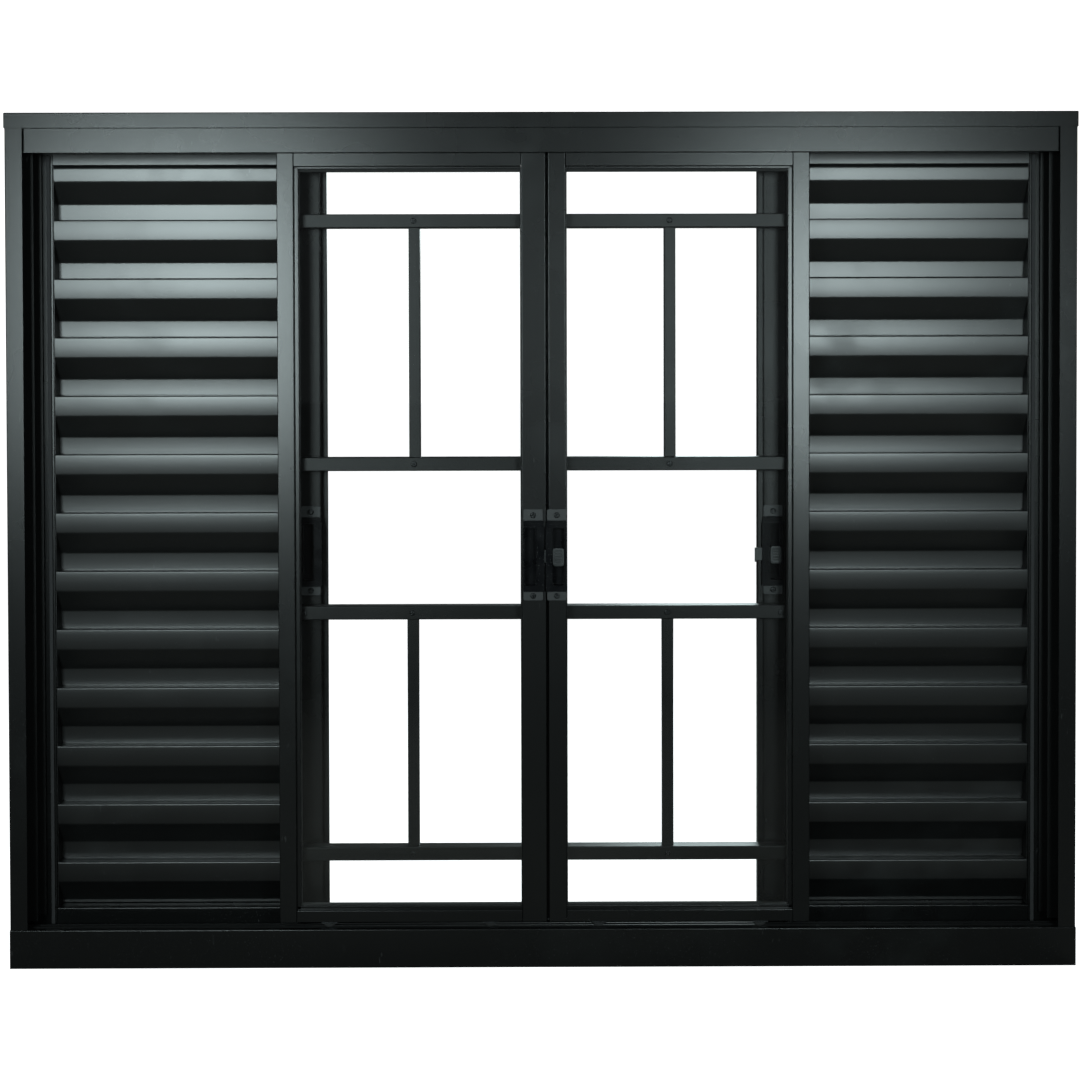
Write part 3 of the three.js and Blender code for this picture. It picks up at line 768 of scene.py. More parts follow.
class Screw:
    """A pan-head screw with a cross recess, modelled once and copied."""

    HEAD_RADIUS = 4.2
    HEAD_HEIGHT = 2.1
    RECESS = (1.2, 4.8, 1.5)
    _model: bpy.types.Object | None = None

    @classmethod
    def model(cls) -> bpy.types.Object:
        """Makes the screw head at the origin, facing the room, or returns it if it is there."""
        if cls._model is None:
            bpy.ops.object.select_all(action="DESELECT")
            bpy.ops.mesh.primitive_cylinder_add(
                vertices=28, radius=cls.HEAD_RADIUS * MM, depth=cls.HEAD_HEIGHT * MM,
                location=(0, -cls.HEAD_HEIGHT / 2 * MM, 0), rotation=(math.pi / 2, 0, 0),
            )
            head = Bench.added("screw_model")
            bpy.ops.object.transform_apply(location=True, rotation=True, scale=True)
            front = -cls.HEAD_HEIGHT * MM
            vertices = head.data.vertices
            Bench.select(
                head, "EDGE", lambda e: all(abs(vertices[i].co.y - front) < 1e-6 for i in e.vertices)
            )
            bpy.ops.mesh.bevel(offset=1.3 * MM, segments=5, profile=0.5, affect="EDGES")
            Bench.leave()
            width, length, deep = cls.RECESS
            for x, z in ((width, length), (length, width)):
                tool = Bench.block(
                    "recess_tool", (-x / 2, x / 2), (-cls.HEAD_HEIGHT - 1, -cls.HEAD_HEIGHT + deep),
                    (-z / 2, z / 2),
                )
                Bench.weld(head, tool, "DIFFERENCE")
            Bench.smooth(head, 30.0)
            head.hide_render = True
            head.hide_viewport = False
            cls._model = head
        return cls._model

    @classmethod
    def drive(cls, owner: Assembly, name: str, place: tuple[float, float, float], turn: float = 0.0) -> None:
        """Sets a screw head with its seat at a place in millimetres.

        Args:
            owner: The assembly that it holds together.
            name: The screw's name.
            place: The middle of its seat.
            turn: The angle at which its recess was left, in degrees.
        """
        screw = Bench.copy(cls.model(), name)
        screw.hide_render = False
        Bench.place(
            screw, Matrix.Translation(Vector(place) * MM) @ Matrix.Rotation(math.radians(turn), 4, "Y")
        )
        owner.show(screw, SCREW_ZINC)

    @classmethod
    def put_away(cls) -> None:
        """Removes the model screw once all copies are made."""
        if cls._model is not None:
            bpy.data.objects.remove(cls._model)
            cls._model = None


# ------------------------------------------------------------------------------------ outer frame


@dataclass
class OuterFrame(Assembly):
    """Head, sill and jambs of folded sheet, with the tracks and guides inside them."""

    body: str = "frame"
    width: float = 1500.0
    height: float = 1200.0
    deep: float = 140.0
    sheet: float = 1.5
    head_flange: float = 21.4
    jamb_face: float = 748.5
    jamb_flange: float = 24.5
    sill_front: float = 54.5
    sill_rear: float = 40.0
    sill_lip: float = 6.5
    fin: float = 1.2
    fins: dict[str, float] = field(default_factory=lambda: {"sash": 35.0, "grille": 61.0, "shutter": 98.0})
    outside_fin: float = 134.2
    fin_foot: float = 10.0

    def build(self) -> None:
        """Builds the frame's pieces."""
        self._head()
        self._sill()
        for side in Side:
            self._jamb(side)
            self._side_guide(side)
        self._head_track()
        self._sill_track()

    def _head(self) -> None:
        """A tray of sheet, open at the bottom, with folded ends."""
        half, front, back = self.width / 2, depth(0), depth(self.deep)
        low = self.height - self.head_flange
        head = Bench.block("head_profile", (-half, half), (front, back), (low, self.height))
        Bench.select(head, "FACE", lambda f: f.normal.z < -0.9)
        bpy.ops.mesh.delete(type="FACE")
        Bench.leave()
        vertices = head.data.vertices
        Bench.select(head, "EDGE", lambda e: any(vertices[i].co.z > low * MM + 1e-5 for i in e.vertices))
        bpy.ops.mesh.bevel(offset=1.5 * MM, segments=4, profile=0.5, affect="EDGES", clamp_overlap=True)
        Bench.leave()
        Bench.finish(head, "SOLIDIFY", thickness=self.sheet * MM, offset=-1.0, use_even_offset=True)
        Bench.round_edges(head, 0.22, 1, 60.0)
        Bench.smooth(head)
        self.show(head, COAT, ["frame_head"])

    def _sill(self) -> None:
        """A folded sill with a lip at the room side, drain slots outside, and welded end plates."""
        low, high = (v / MM for v in (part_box("frame_sill")[0].x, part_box("frame_sill")[1].x))
        front, back = depth(0), depth(self.deep)
        path = [
            (front + self.sill_lip, self.sill_front), (front, self.sill_front), (front, 0.0), (back, 0.0),
            (back, self.sill_rear),
        ]
        sill = FoldedSheet("sill_profile", path, Run.ACROSS, low, high, self.sheet, 1.5).build()
        for x in (-540, -180, 180, 540):
            Bench.weld(
                sill, Bench.block("slot_tool", (x - 15, x + 15), (back - 4, back + 4), (7, 12)), "DIFFERENCE"
            )
        self.show(sill, COAT, ["frame_sill"])
        for side, x in ((Side.LEFT, low), (Side.RIGHT, high)):
            span = sorted((x - side.value * 0.05, x - side.value * self.sheet))
            plate = Bench.block(
                f"sill_end_plate_{side.word}", (span[0], span[1]),
                (front + self.sheet, back - self.sheet), (self.sheet, self.sill_front - 0.1),
            )
            Bench.round_edges(plate, 0.3)
            Bench.smooth(plate)
            self.show(plate, COAT)

    def _jamb(self, side: Side) -> None:
        """A channel of sheet between head and sill, open towards the window."""
        s = side.value
        outer, inner = s * self.jamb_face, s * (self.jamb_face - self.jamb_flange)
        path = [(inner, depth(0)), (outer, depth(0)), (outer, depth(self.deep)), (inner, depth(self.deep))]
        node = f"frame_jamb_{side.word}"
        low, high = (v.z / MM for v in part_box(node))
        jamb = FoldedSheet(
            f"jamb_{side.word}_profile", path, Run.UP, low, high, self.sheet, 1.6, left=side is Side.RIGHT,
        ).build()
        self.show(jamb, COAT, [node])

    def _head_track(self) -> None:
        """The valance and outer fin as one folded channel, with three fins hung inside it."""
        low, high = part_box("head_track")
        x0, x1, top, tip = low.x / MM, high.x / MM, high.z / MM, low.z / MM
        front, back = depth(6), depth(self.outside_fin)
        path = [(front + 4, tip), (front, tip), (front, top), (back, top), (back, tip)]
        track = FoldedSheet("head_track_channel", path, Run.ACROSS, x0, x1, self.fin, 1.3, left=False).build()
        self.show(track, COAT, ["head_track"])
        for name, at in self.fins.items():
            y, under = depth(at), top - self.fin - 0.1
            fin = FoldedSheet(
                f"head_fin_{name}", [(y + self.fin_foot, under), (y, under), (y, 1150.0)], Run.ACROSS, x0, x1,
                self.fin, 1.2,
            ).build()
            self.show(fin, TRACK_COAT)

    def _sill_track(self) -> None:
        """A folded channel on the sill, with three fins and the two rails that carry the rollers."""
        low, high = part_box("sill_track")
        x0, x1, base = low.x / MM, high.x / MM, low.z / MM
        front, back = depth(8), depth(self.outside_fin)
        path = [(front, 47.0), (front, base), (back, base), (back, 30.0)]
        track = FoldedSheet("sill_track_channel", path, Run.ACROSS, x0, x1, self.fin, 1.2).build()
        self.show(track, TRACK_COAT, ["sill_track"])
        walls = {"sash": 50.0, "grille": 36.0, "shutter": 32.0}
        stands = [(f"sill_fin_{name}", self.fins[name], tip) for name, tip in walls.items()]
        stands += [("sill_rail_sash", 21.4, 52.0), ("sill_rail_shutter", 79.4, 16.3)]
        for name, at, tip in stands:
            y, floor = depth(at), base + self.fin + 0.1
            fin = FoldedSheet(
                name, [(y + self.fin_foot, floor), (y, floor), (y, tip)], Run.ACROSS, x0, x1, self.fin, 1.2,
                left=False, edge=0.4,
            ).build()
            self.show(fin, TRACK_COAT)

    def _side_guide(self, side: Side) -> None:
        """A plate on the jamb's web with three folded fins that part the lanes."""
        s, right = side.value, side is Side.RIGHT
        node = f"side_guide_{side.word}"
        low, high = (v.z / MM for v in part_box(node))
        web = 746.7
        plate = FoldedSheet(
            f"guide_plate_{side.word}", [(s * web, depth(8)), (s * web, depth(132))], Run.UP, low, high,
            self.fin,
            0.0, left=right,
        ).build()
        self.show(plate, TRACK_COAT, [node])
        for name, tip in (("sash", 720.5), ("grille", 717.0), ("shutter", 719.0)):
            y, foot = depth(self.fins[name]), s * (web - self.fin - 0.1)
            fin = FoldedSheet(
                f"guide_fin_{name}_{side.word}", [(foot, y + self.fin_foot), (foot, y), (s * tip, y)], Run.UP,
                low,
                high, self.fin, 1.2, left=not right,
            ).build()
            self.show(fin, TRACK_COAT)


# ------------------------------------------------------------------------------------ louvres


@dataclass
class LouvreBlind(Assembly):
    """The slats of one leaf, with the plates that hold their ends."""

    leaf: str
    body: str
    front: float
    x: Point
    low: float
    high: float
    node: str
    depth_of_leaf: float = 28.0
    count: int = 13
    pitch: float = 84.35
    first_top: float = 1140.25
    sheet: float = 1.0
    setback: float = 1.5
    face: float = 28.3
    rear: float = 23.0
    run_back: float = 20.5
    slope_drop: float = 31.0
    belly: float = 7.0
    plate: float = 1.0

    def build(self) -> None:
        """Models the top slat, copies it down the leaf, and trims the slats that meet the rails."""
        ends = (self.x[0] + self.plate + 0.05, self.x[1] - self.plate - 0.05)
        model = FoldedSheet(
            "slat_model", self._path(), Run.ACROSS, ends[0], ends[1], self.sheet, 1.35, left=False, edge=0.25,
            soft=self._soft(),
        ).build()
        for i in range(self.count):
            slat = Bench.copy(model, f"{self.leaf}_slat_{i + 1:02d}", Vector((0, 0, -i * self.pitch * MM)))
            self._trim(slat)
            self.show(slat, SLAT_COAT, [self.node])
        bpy.data.objects.remove(model)
        for side, x in ((Side.LEFT, self.x[0]), (Side.RIGHT, self.x[1])):
            inner = x - side.value * self.plate
            cheek = Bench.block(
                f"{self.leaf}_slat_cheek_{side.word}", (min(x, inner), max(x, inner)),
                (depth(self.front + 1.6), depth(self.front + self.depth_of_leaf - 1.6)),
                (self.low, self.high),
            )
            Bench.round_edges(cheek, 0.2, 1)
            self.show(cheek, TRACK_COAT)

    def _path(self) -> list[Point]:
        """The section of the top slat, from its upstand down to the edge of its rear face."""
        y, z = depth(self.front + self.setback), self.first_top
        behind, ledge = y + self.run_back + 3.5, z - 2.0
        points = [(behind, ledge + 8.0), (behind, ledge), (y + 0.15, z)]
        points += self._bow(points[-1], self.face, -1.0, self.belly, 5)
        foot = (y + self.run_back - 0.9, z - self.face - self.slope_drop)
        points.append(foot)
        points += self._bow(foot, self.rear, self.belly - 2.0, 0.0, 5)
        return points

    @staticmethod
    def _bow(start: Point, length: float, first: float, last: float, steps: int) -> list[Point]:
        """A shallow curve downwards.

        Args:
            start: Where it starts.
            length: Its height in millimetres.
            first: Its lean to the outside at its top, in degrees.
            last: Its lean at its bottom.
            steps: How many straight parts it has.

        Returns:
            The points after the start.
        """
        points, (y, z) = [], start
        for i in range(steps):
            lean = math.radians(first + (last - first) * (i + 0.5) / steps)
            z -= length / steps
            y += math.tan(lean) * length / steps
            points.append((y, z))
        return points

    @staticmethod
    def _soft() -> list[int]:
        """The path points inside the two curved faces, which aren't folds."""
        return [3, 4, 5, 6, 9, 10, 11, 12]

    def _trim(self, slat: bpy.types.Object) -> None:
        """Cuts off what would stand above or below the leaf's rails."""
        heights = [v.co.z / MM for v in slat.data.vertices]
        for limit, up in ((self.high, 1), (self.low, -1)):
            if (max(heights) - limit) * up > 0 if up > 0 else min(heights) < limit:
                Bench.select(slat, "FACE", lambda f: True)
                bpy.ops.mesh.bisect(
                    plane_co=(0, 0, limit * MM), plane_no=(0, 0, up), use_fill=True, clear_outer=True,
                )
                Bench.leave()


@dataclass
class FixedPanel(Assembly):
    """A louvred panel that doesn't move, at one side of the window."""

    side: Side
    body: str = "frame"
    front: float = 102.0
    deep: float = 28.0
    sheet: float = 1.2

    def build(self) -> None:
        """Builds the two stiles and the slats."""
        s, right, word = self.side.value, self.side is Side.RIGHT, self.side.word
        y0, y1 = depth(self.front), depth(self.front + self.deep)
        for name, web, mouth in (("outer", 744.0, 708.0), ("inner", 318.0, 353.0)):
            node = f"fixed_louvre_{word}_{name}_stile"
            low, high = (v.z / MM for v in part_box(node))
            path = [(s * mouth, y0), (s * web, y0), (s * web, y1), (s * mouth, y1)]
            stile = FoldedSheet(
                f"fixed_{word}_{name}_channel", path, Run.UP, low, high, self.sheet, 1.5,
                left=(web > mouth) == right,
            ).build()
            self.show(stile, COAT, [node])
        node = f"fixed_louvre_{word}_slats"
        a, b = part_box(node)
        LouvreBlind(
            f"fixed_{word}", "frame", self.front, (a.x / MM, b.x / MM), 34.0, 1160.0, node,
        ).build()


# ------------------------------------------------------------------------------------ grille


@dataclass
class Grille(Assembly):
    """Four tubes across and four uprights, screwed together and to a post at each side."""

    body: str = "frame"
    front: float = 38.0
    deep: float = 20.0

    def build(self) -> None:
        """Builds posts, bars, uprights and screws."""
        for side in Side:
            self._post(side)
        for i in range(1, 5):
            node = f"grille_bar_{i}"
            (x0, y0, z0), (x1, y1, z1) = (tuple(c / MM for c in v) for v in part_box(node))
            bar = SquareTube(f"bar_{i}_tube", (x0, x1), (y0, y1), (z0, z1), Run.ACROSS, radius=1.4).build()
            self.show(bar, TUBE_COAT, [node])
            if i == 3:
                for turn, side in zip((20, 65), Side):
                    place = (side.value * 339.5, y0, (z0 + z1) / 2)
                    Screw.drive(self, f"bar_{i}_end_screw_{side.word}", place, turn)
        for row, bars in (("upper", (1, 2)), ("lower", (3, 4))):
            for side in Side:
                self._upright(row, side, bars)

    def _post(self, side: Side) -> None:
        """A channel from sill to head that takes the ends of the bars."""
        s, right = side.value, side is Side.RIGHT
        node = f"grille_post_{side.word}"
        low, high = (v.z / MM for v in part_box(node))
        y0, y1 = depth(self.front), depth(self.front + self.deep)
        path = [(s * 375, y0), (s * 350, y0), (s * 350, y1), (s * 375, y1)]
        post = FoldedSheet(
            f"post_{side.word}_channel", path, Run.UP, low, high, 1.5, 1.6, left=not right
        ).build()
        self.show(post, TUBE_COAT, [node])

    def _upright(self, row: str, side: Side, bars: tuple[int, int]) -> None:
        """A tube between two bars, with a screw through each bar into its end."""
        node = f"grille_upright_{row}_{side.word}"
        (x0, y0, z0), (x1, y1, z1) = (tuple(c / MM for c in v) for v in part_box(node))
        tube = SquareTube(
            f"upright_{row}_{side.word}_tube", (x0, x1), (y0, y1), (z0, z1), Run.UP, radius=1.2
        ).build()
        self.show(tube, TUBE_COAT, [node])
        for bar in bars:
            a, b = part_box(f"grille_bar_{bar}")
            place = ((x0 + x1) / 2 - 0.8, a.y / MM, (a.z + b.z) / 2 / MM)
            Screw.drive(self, f"bar_{bar}_screw_{side.word}", place, 15.0 + 31.0 * bar + 9.0 * side.value)


# ------------------------------------------------------------------------------------ pulls


@dataclass
class Pull(Assembly):
    """A recessed finger pull of moulded plastic, held by a screw through each end tab.

    It is modelled with its trough side at x = 0 and its meeting side towards +x, about its middle.
    """

    leaf: str
    body: str
    hand: int
    x: float
    back: float
    latched: bool
    rim: float = 1.4
    middle: float = 579.7
    half: float = 64.25
    tab_width: float = 27.6
    body_width: float = 29.6
    proud: float = 6.0
    tab_proud: float = 2.6
    step_proud: float = 4.4
    body_top: float = 40.0
    body_bottom: float = -51.5
    trough: Point = (-43.0, 38.0)
    trough_width: float = 17.0
    trough_deep: float = 14.0
    slot_level: float = -5.0
    slot_height: float = 26.8
    slot_thick: float = 3.6
    wall: float = 1.2
    chamber: float = 8.6

    def build(self) -> None:
        """Builds the pull and its screws."""
        plate = self._rounded(
            f"{self.leaf}_pull_plate", (0, self.tab_width), (-self.tab_proud, -0.3), (-self.half, self.half),
            2.4,
        )
        block = self._shell()
        block.name = block.data.name = f"{self.leaf}_pull"
        gap = Bench.block(
            "gap_tool", (-1, self.body_width + 1), (-9, 9), (self.body_bottom + 0.2, self.body_top + 8.2)
        )
        Bench.weld(plate, gap, "DIFFERENCE")
        Bench.round_edges(plate, 0.4, 2, 40.0)
        # The moulding takes the darker finish, whose near-black colour is painted shade for its trough; the
        # tabs keep the lighter plastic.
        for piece, finish in ((plate, TAB_PLASTIC), (block, PULL_PLASTIC_PAINTED_SHADE)):
            self._set(piece)
            self.show(piece, finish, [f"{self.leaf}_handle"])
        for name, z, turn in (("top", self.half - 8.2, 25.0), ("bottom", -self.half + 6.6, 70.0)):
            place = (
                self.x + self.hand * self.tab_width / 2, self.back - self.tab_proud + 0.4, self.middle + z
            )
            Screw.drive(self, f"{self.leaf}_pull_screw_{name}", place, turn + 17 * self.hand)

    def _set(self, piece: bpy.types.Object) -> None:
        """Mirrors a piece for a left-handed pull and moves it onto its leaf."""
        place = Matrix.Translation(Vector((self.x, self.back, self.middle)) * MM)
        Bench.place(piece, place @ Matrix.Diagonal((self.hand, 1, 1, 1)))
        if self.hand < 0:
            Bench.outward(piece)
        Bench.smooth(piece)

    def _shell(self) -> bpy.types.Object:
        """The step, the body and the cup as one moulding, with its openings cut."""
        shell = self._rounded(
            "pull", (0, self.body_width), (-self.proud, -0.3), (self.body_bottom, self.body_top), 1.0
        )
        parts = [
            (
                (0.5, self.body_width - 1.0), (-self.step_proud, -0.4),
                (self.body_top - 4, self.body_top + 8.1), 1.2,
            ),
            (
                (self.rim - self.wall, self.rim + self.trough_width + self.wall),
                (-1.2, self.trough_deep - self.proud + self.wall),
                (self.trough[0] - self.wall, self.trough[1] + self.wall), 1.6,
            ),
        ]
        for x, y, z, corner in parts:
            Bench.weld(shell, self._rounded("pull_part", x, y, z, corner))
        across = (self.rim, self.rim + self.trough_width)
        tool = self._rounded(
            "trough_tool", across, (-self.proud - 2, self.trough_deep - self.proud), self.trough, 2.6
        )
        Bench.round_edges(tool, 0.8, 2, 60.0)
        Bench.weld(shell, tool, "DIFFERENCE")
        thick = (-self.proud + 1.2, -self.proud + 1.2 + self.slot_thick)
        level = (self.slot_level - self.slot_height / 2, self.slot_level + self.slot_height / 2)
        if self.latched:
            cuts = [((self.rim + self.trough_width - 1, self.body_width + 1), level)]
        else:
            inner = self.body_width - self.wall
            cuts = [
                ((inner - self.chamber, inner), level),
                ((inner - 1, self.body_width + 1), (level[0] + 2.8, level[1]))
            ]
        for x, z in cuts:
            Bench.weld(shell, Bench.block("slot_tool", x, thick, z), "DIFFERENCE")
        Bench.round_edges(shell, 0.35, 2, 40.0)
        return shell

    @staticmethod
    def _rounded(name: str, x: Point, y: Point, z: Point, corner: float) -> bpy.types.Object:
        """A block whose four edges along Y are rounded."""
        piece = Bench.block(name, x, y, z)
        vertices = piece.data.vertices
        Bench.select(
            piece, "EDGE", lambda e: abs(vertices[e.vertices[0]].co.y - vertices[e.vertices[1]].co.y) > 1e-5,
        )
        bpy.ops.mesh.bevel(offset=corner * MM, segments=4, profile=0.5, affect="EDGES", clamp_overlap=True)
        Bench.leave()
        return piece


@dataclass
class ThumbLatch(Assembly):
    """A ribbed thumb button in a pull's trough, with the tongue that hooks into the other leaf."""

    pull: Pull
    node: str
    reach: float
    raised: bool
    body: str = ""
    width: float = 15.6
    height: float = 25.2
    tongue_height: float = 20.4
    tongue_thick: float = 3.0
    hook: float = 2.4
    nib: float = 2.2
    travel: float = 4.2
    ribs: int = 4

    def build(self) -> None:
        """Builds the button with its pad and ribs, and the tongue."""
        pull = self.pull
        middle = pull.slot_level - self.travel / 2 + (self.travel if self.raised else 0.0)
        x0 = pull.rim + (pull.trough_width - self.width) / 2
        front = -pull.proud - 0.5
        button = Pull._rounded(
            "button", (x0, x0 + self.width), (front, -0.5),
            (middle - self.height / 2, middle + self.height / 2), 3.6,
        )
        pad = Pull._rounded(
            "pad_tool", (x0 + 2.6, x0 + self.width - 2.6), (front - 1, front + 1.5),
            (middle - self.height / 2 + 3.4, middle + self.height / 2 - 3.4), 2.0,
        )
        Bench.weld(button, pad, "DIFFERENCE")
        Bench.round_edges(button, 0.5, 2, 40.0)
        for i in range(self.ribs):
            z = middle + (i - (self.ribs - 1) / 2) * 3.9
            rib = Bench.block(
                "rib", (x0 + 3.4, x0 + self.width - 3.4), (front + 0.1, front + 1.8), (z - 0.9, z + 0.9)
            )
            Bench.round_edges(rib, 0.5, 2)
            Bench.weld(button, rib)
        thick = (-pull.proud + 1.5, -pull.proud + 1.5 + self.tongue_thick)
        tip = pull.body_width + self.reach
        top, bottom = middle + self.tongue_height / 2, middle - self.tongue_height / 2
        tongue = Bench.block("tongue", (x0 + 1, tip), thick, (bottom + self.hook, top))
        Bench.weld(tongue, Bench.block("nib", (tip - self.nib, tip), thick, (bottom, top - 1)))
        Bench.round_edges(tongue, 0.9, 3)
        Bench.weld(button, tongue)
        button.name = button.data.name = f"{self.node}_slide"
        pull._set(button)
        self.show(button, THUMB_PLASTIC, [self.node], self.node)


# ------------------------------------------------------------------------------------ leaves


@dataclass
class RollerSet(Assembly):
    """The two grooved rollers under a leaf, each in its own carriage."""

    leaf: str
    body: str
    radius: float = 8.3
    flange: float = 1.6
    width: float = 7.0
    groove: float = 2.6
    axle: float = 2.0
    steps: int = 32

    def build(self) -> None:
        """Builds each roller about its own axle, then its axle pin and carriage."""
        for letter in "ab":
            node = f"{self.leaf}_roller_{letter}"
            low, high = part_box(node)
            centre = (low + high) / 2
            wheel = self._wheel(f"{self.leaf}_wheel_{letter}")
            Bench.place(wheel, Matrix.Translation(centre))
            self.show(wheel, ROLLER_NYLON, [node], node)
            self._carriage(letter, centre / MM)

    def _wheel(self, name: str) -> bpy.types.Object:
        """A wheel with a groove and a hollowed side, spun about Y."""
        rim, half, groove = self.radius + self.flange, self.width / 2, self.groove / 2
        outline = [
            (self.axle + 0.2, -half), (4.2, -half), (4.8, -half + 0.9), (rim - 1.8, -half + 0.9),
            (rim - 1.2, -half),
            (rim, -half + 0.5), (rim, -groove - 0.6), (self.radius, -groove), (self.radius, groove),
            (rim, groove + 0.6), (rim, half - 0.5), (rim - 1.2, half), (rim - 1.8, half - 0.9),
            (4.8, half - 0.9),
            (4.2, half), (self.axle + 0.2, half),
        ]
        bpy.ops.object.select_all(action="DESELECT")
        bpy.ops.mesh.primitive_plane_add(size=1.0, location=(0, 0, 0))
        wheel = Bench.added(name)
        Bench.select(wheel, "VERT", lambda v: v.index > 0)
        bpy.ops.mesh.delete(type="VERT")
        bpy.ops.mesh.select_all(action="SELECT")
        corner = Vector((-0.5, -0.5, 0))
        here = Vector((outline[0][0] * MM, outline[0][1] * MM, 0))
        bpy.ops.transform.translate(value=here - corner)
        for radius, across in outline[1:] + outline[:1]:
            there = Vector((radius * MM, across * MM, 0))
            bpy.ops.mesh.extrude_vertices_move(TRANSFORM_OT_translate={"value": there - here})
            here = there
        bpy.ops.mesh.select_all(action="SELECT")
        bpy.ops.mesh.remove_doubles(threshold=1e-6)
        bpy.ops.mesh.spin(steps=self.steps, angle=math.tau, center=(0, 0, 0), axis=(0, 1, 0))
        Bench.leave()
        Bench.outward(wheel)
        Bench.smooth(wheel, 30.0)
        return wheel

    def _carriage(self, letter: str, centre: Vector) -> None:
        """A folded strap over the wheel, with the axle pin through its cheeks."""
        x, y, z = centre
        half = self.width / 2 + 1.4
        reach = self.radius + self.flange + 1.0
        path = [(y - half, z - 3.5), (y - half, z + reach), (y + half, z + reach), (y + half, z - 3.5)]
        strap = FoldedSheet(
            f"{self.leaf}_carriage_{letter}", path, Run.ACROSS, x - 11, x + 11, 0.8, 0.9, left=True,
            edge=0.15,
        ).build()
        self.show(strap, CARRIAGE_ZINC)
        bpy.ops.object.select_all(action="DESELECT")
        bpy.ops.mesh.primitive_cylinder_add(
            vertices=20, radius=(self.axle - 0.1) * MM, depth=(2 * half + 2.4) * MM, location=centre * MM,
            rotation=(math.pi / 2, 0, 0),
        )
        pin = Bench.added(f"{self.leaf}_axle_{letter}")
        bpy.ops.object.transform_apply(location=True, rotation=True, scale=True)
        Bench.round_edges(pin, 0.4, 2)
        Bench.smooth(pin)
        self.show(pin, CARRIAGE_ZINC)


@dataclass
class Shutter(Assembly):
    """A louvred shutter that slides outside the grille."""

    side: Side
    front: float = 66.0
    deep: float = 28.0
    sheet: float = 1.2
    lip_front: float = 66.0

    def __post_init__(self) -> None:
        """Works out the leaf's name and body."""
        self.body = f"shutter_{self.side.word}"

    def build(self) -> None:
        """Builds stiles, rails, slats, pull and rollers."""
        s, right = self.side.value, self.side is Side.RIGHT
        y0, y1 = depth(self.front), depth(self.front + self.deep)
        low, high = (v.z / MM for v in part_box(f"{self.body}_trailing_stile"))
        pull = Pull(
            self.body, self.body, -s, 346.4 if right else -347.2, y0, latched=right,
        )
        for name, web, mouth in (("trailing", 738.0, 702.7), ("leading", 319.0, 351.0)):
            path = [(s * mouth, y0), (s * web, y0), (s * web, y1), (s * mouth, y1)]
            stile = FoldedSheet(
                f"{self.body}_{name}_channel", path, Run.UP, low, high, self.sheet, 1.6,
                left=(web > mouth) == right,
            ).build()
            if name == "leading":
                Leaves.cut_cup(stile, pull, y0, self.sheet)
            self.show(stile, COAT, [f"{self.body}_{name}_stile"])
        lip = depth(self.lip_front)
        x = sorted((s * 319.1, s * 311.0))
        overlap = SquareTube(
            f"{self.body}_overlap", (x[0], x[1]), (lip, lip + 6.0), (low, high), Run.UP, 0.9, 1.2, 8.0,
        ).build()
        self.show(overlap, COAT)
        self._rails(y0, y1)
        a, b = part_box(f"{self.body}_slats")
        LouvreBlind(
            self.body, self.body, self.front, (a.x / MM, b.x / MM), 62.9, 1134.3, f"{self.body}_slats",
        ).build()
        seal = sorted((s * 705.5, s * 710.5))
        Leaves.add_pile(self, (seal[0], seal[1]), (y0 - 3.2, y0 + 0.3), (40.0, 1148.0))
        pull.build()
        if right:
            ThumbLatch(pull, f"{self.body}_latch", 10.5, raised=False).build()
        RollerSet(self.body, self.body).build()

    def _rails(self, y0: float, y1: float) -> None:
        """The top rail, open upwards, and the bottom rail, open downwards."""
        for name in ("top", "bottom"):
            node = f"{self.body}_{name}_rail"
            low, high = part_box(node)
            web, mouth = (low.z, high.z) if name == "top" else (high.z, low.z)
            path = [(y0, mouth / MM), (y0, web / MM), (y1, web / MM), (y1, mouth / MM)]
            rail = FoldedSheet(
                f"{self.body}_{name}_channel", path, Run.ACROSS, low.x / MM, high.x / MM, self.sheet, 1.5,
                left=name == "top",
            ).build()
            self.show(rail, SLAT_COAT if name == "top" else COAT, [node])


class Leaves:
    """What sashes and shutters have in common."""

    @staticmethod
    def add_pile(leaf: Assembly, x: Point, y: Point, z: Point) -> None:
        """Sets a strip of pile on a stile.

        Args:
            leaf: The leaf.
            x: The strip's limits across.
            y: Its limits in depth, from the tips to the stile or the other way round.
            z: Its limits in height.
        """
        pile = Bench.block(f"{leaf.body}_pile_seal", x, (min(y), max(y)), z)
        Bench.round_edges(pile, 0.8, 3)
        Bench.smooth(pile)
        leaf.show(pile, PILE)

    @staticmethod
    def cut_cup(stile: bpy.types.Object, pull: Pull, face: float, sheet: float) -> None:
        """Cuts the hole for a pull's cup through a stile's room-side face.

        Args:
            stile: The stile.
            pull: The pull whose cup goes in.
            face: The face's Y in millimetres.
            sheet: The stile's thickness.
        """
        span = (pull.rim - pull.wall - 0.3, pull.rim + pull.trough_width + pull.wall + 0.3)
        x = sorted(pull.x + pull.hand * v for v in span)
        z = (pull.middle + pull.trough[0] - pull.wall - 0.3, pull.middle + pull.trough[1] + pull.wall + 0.3)
        tool = Bench.block("cup_tool", (x[0], x[1]), (face - 3, face + sheet + 2), z)
        Bench.weld(stile, tool, "DIFFERENCE")


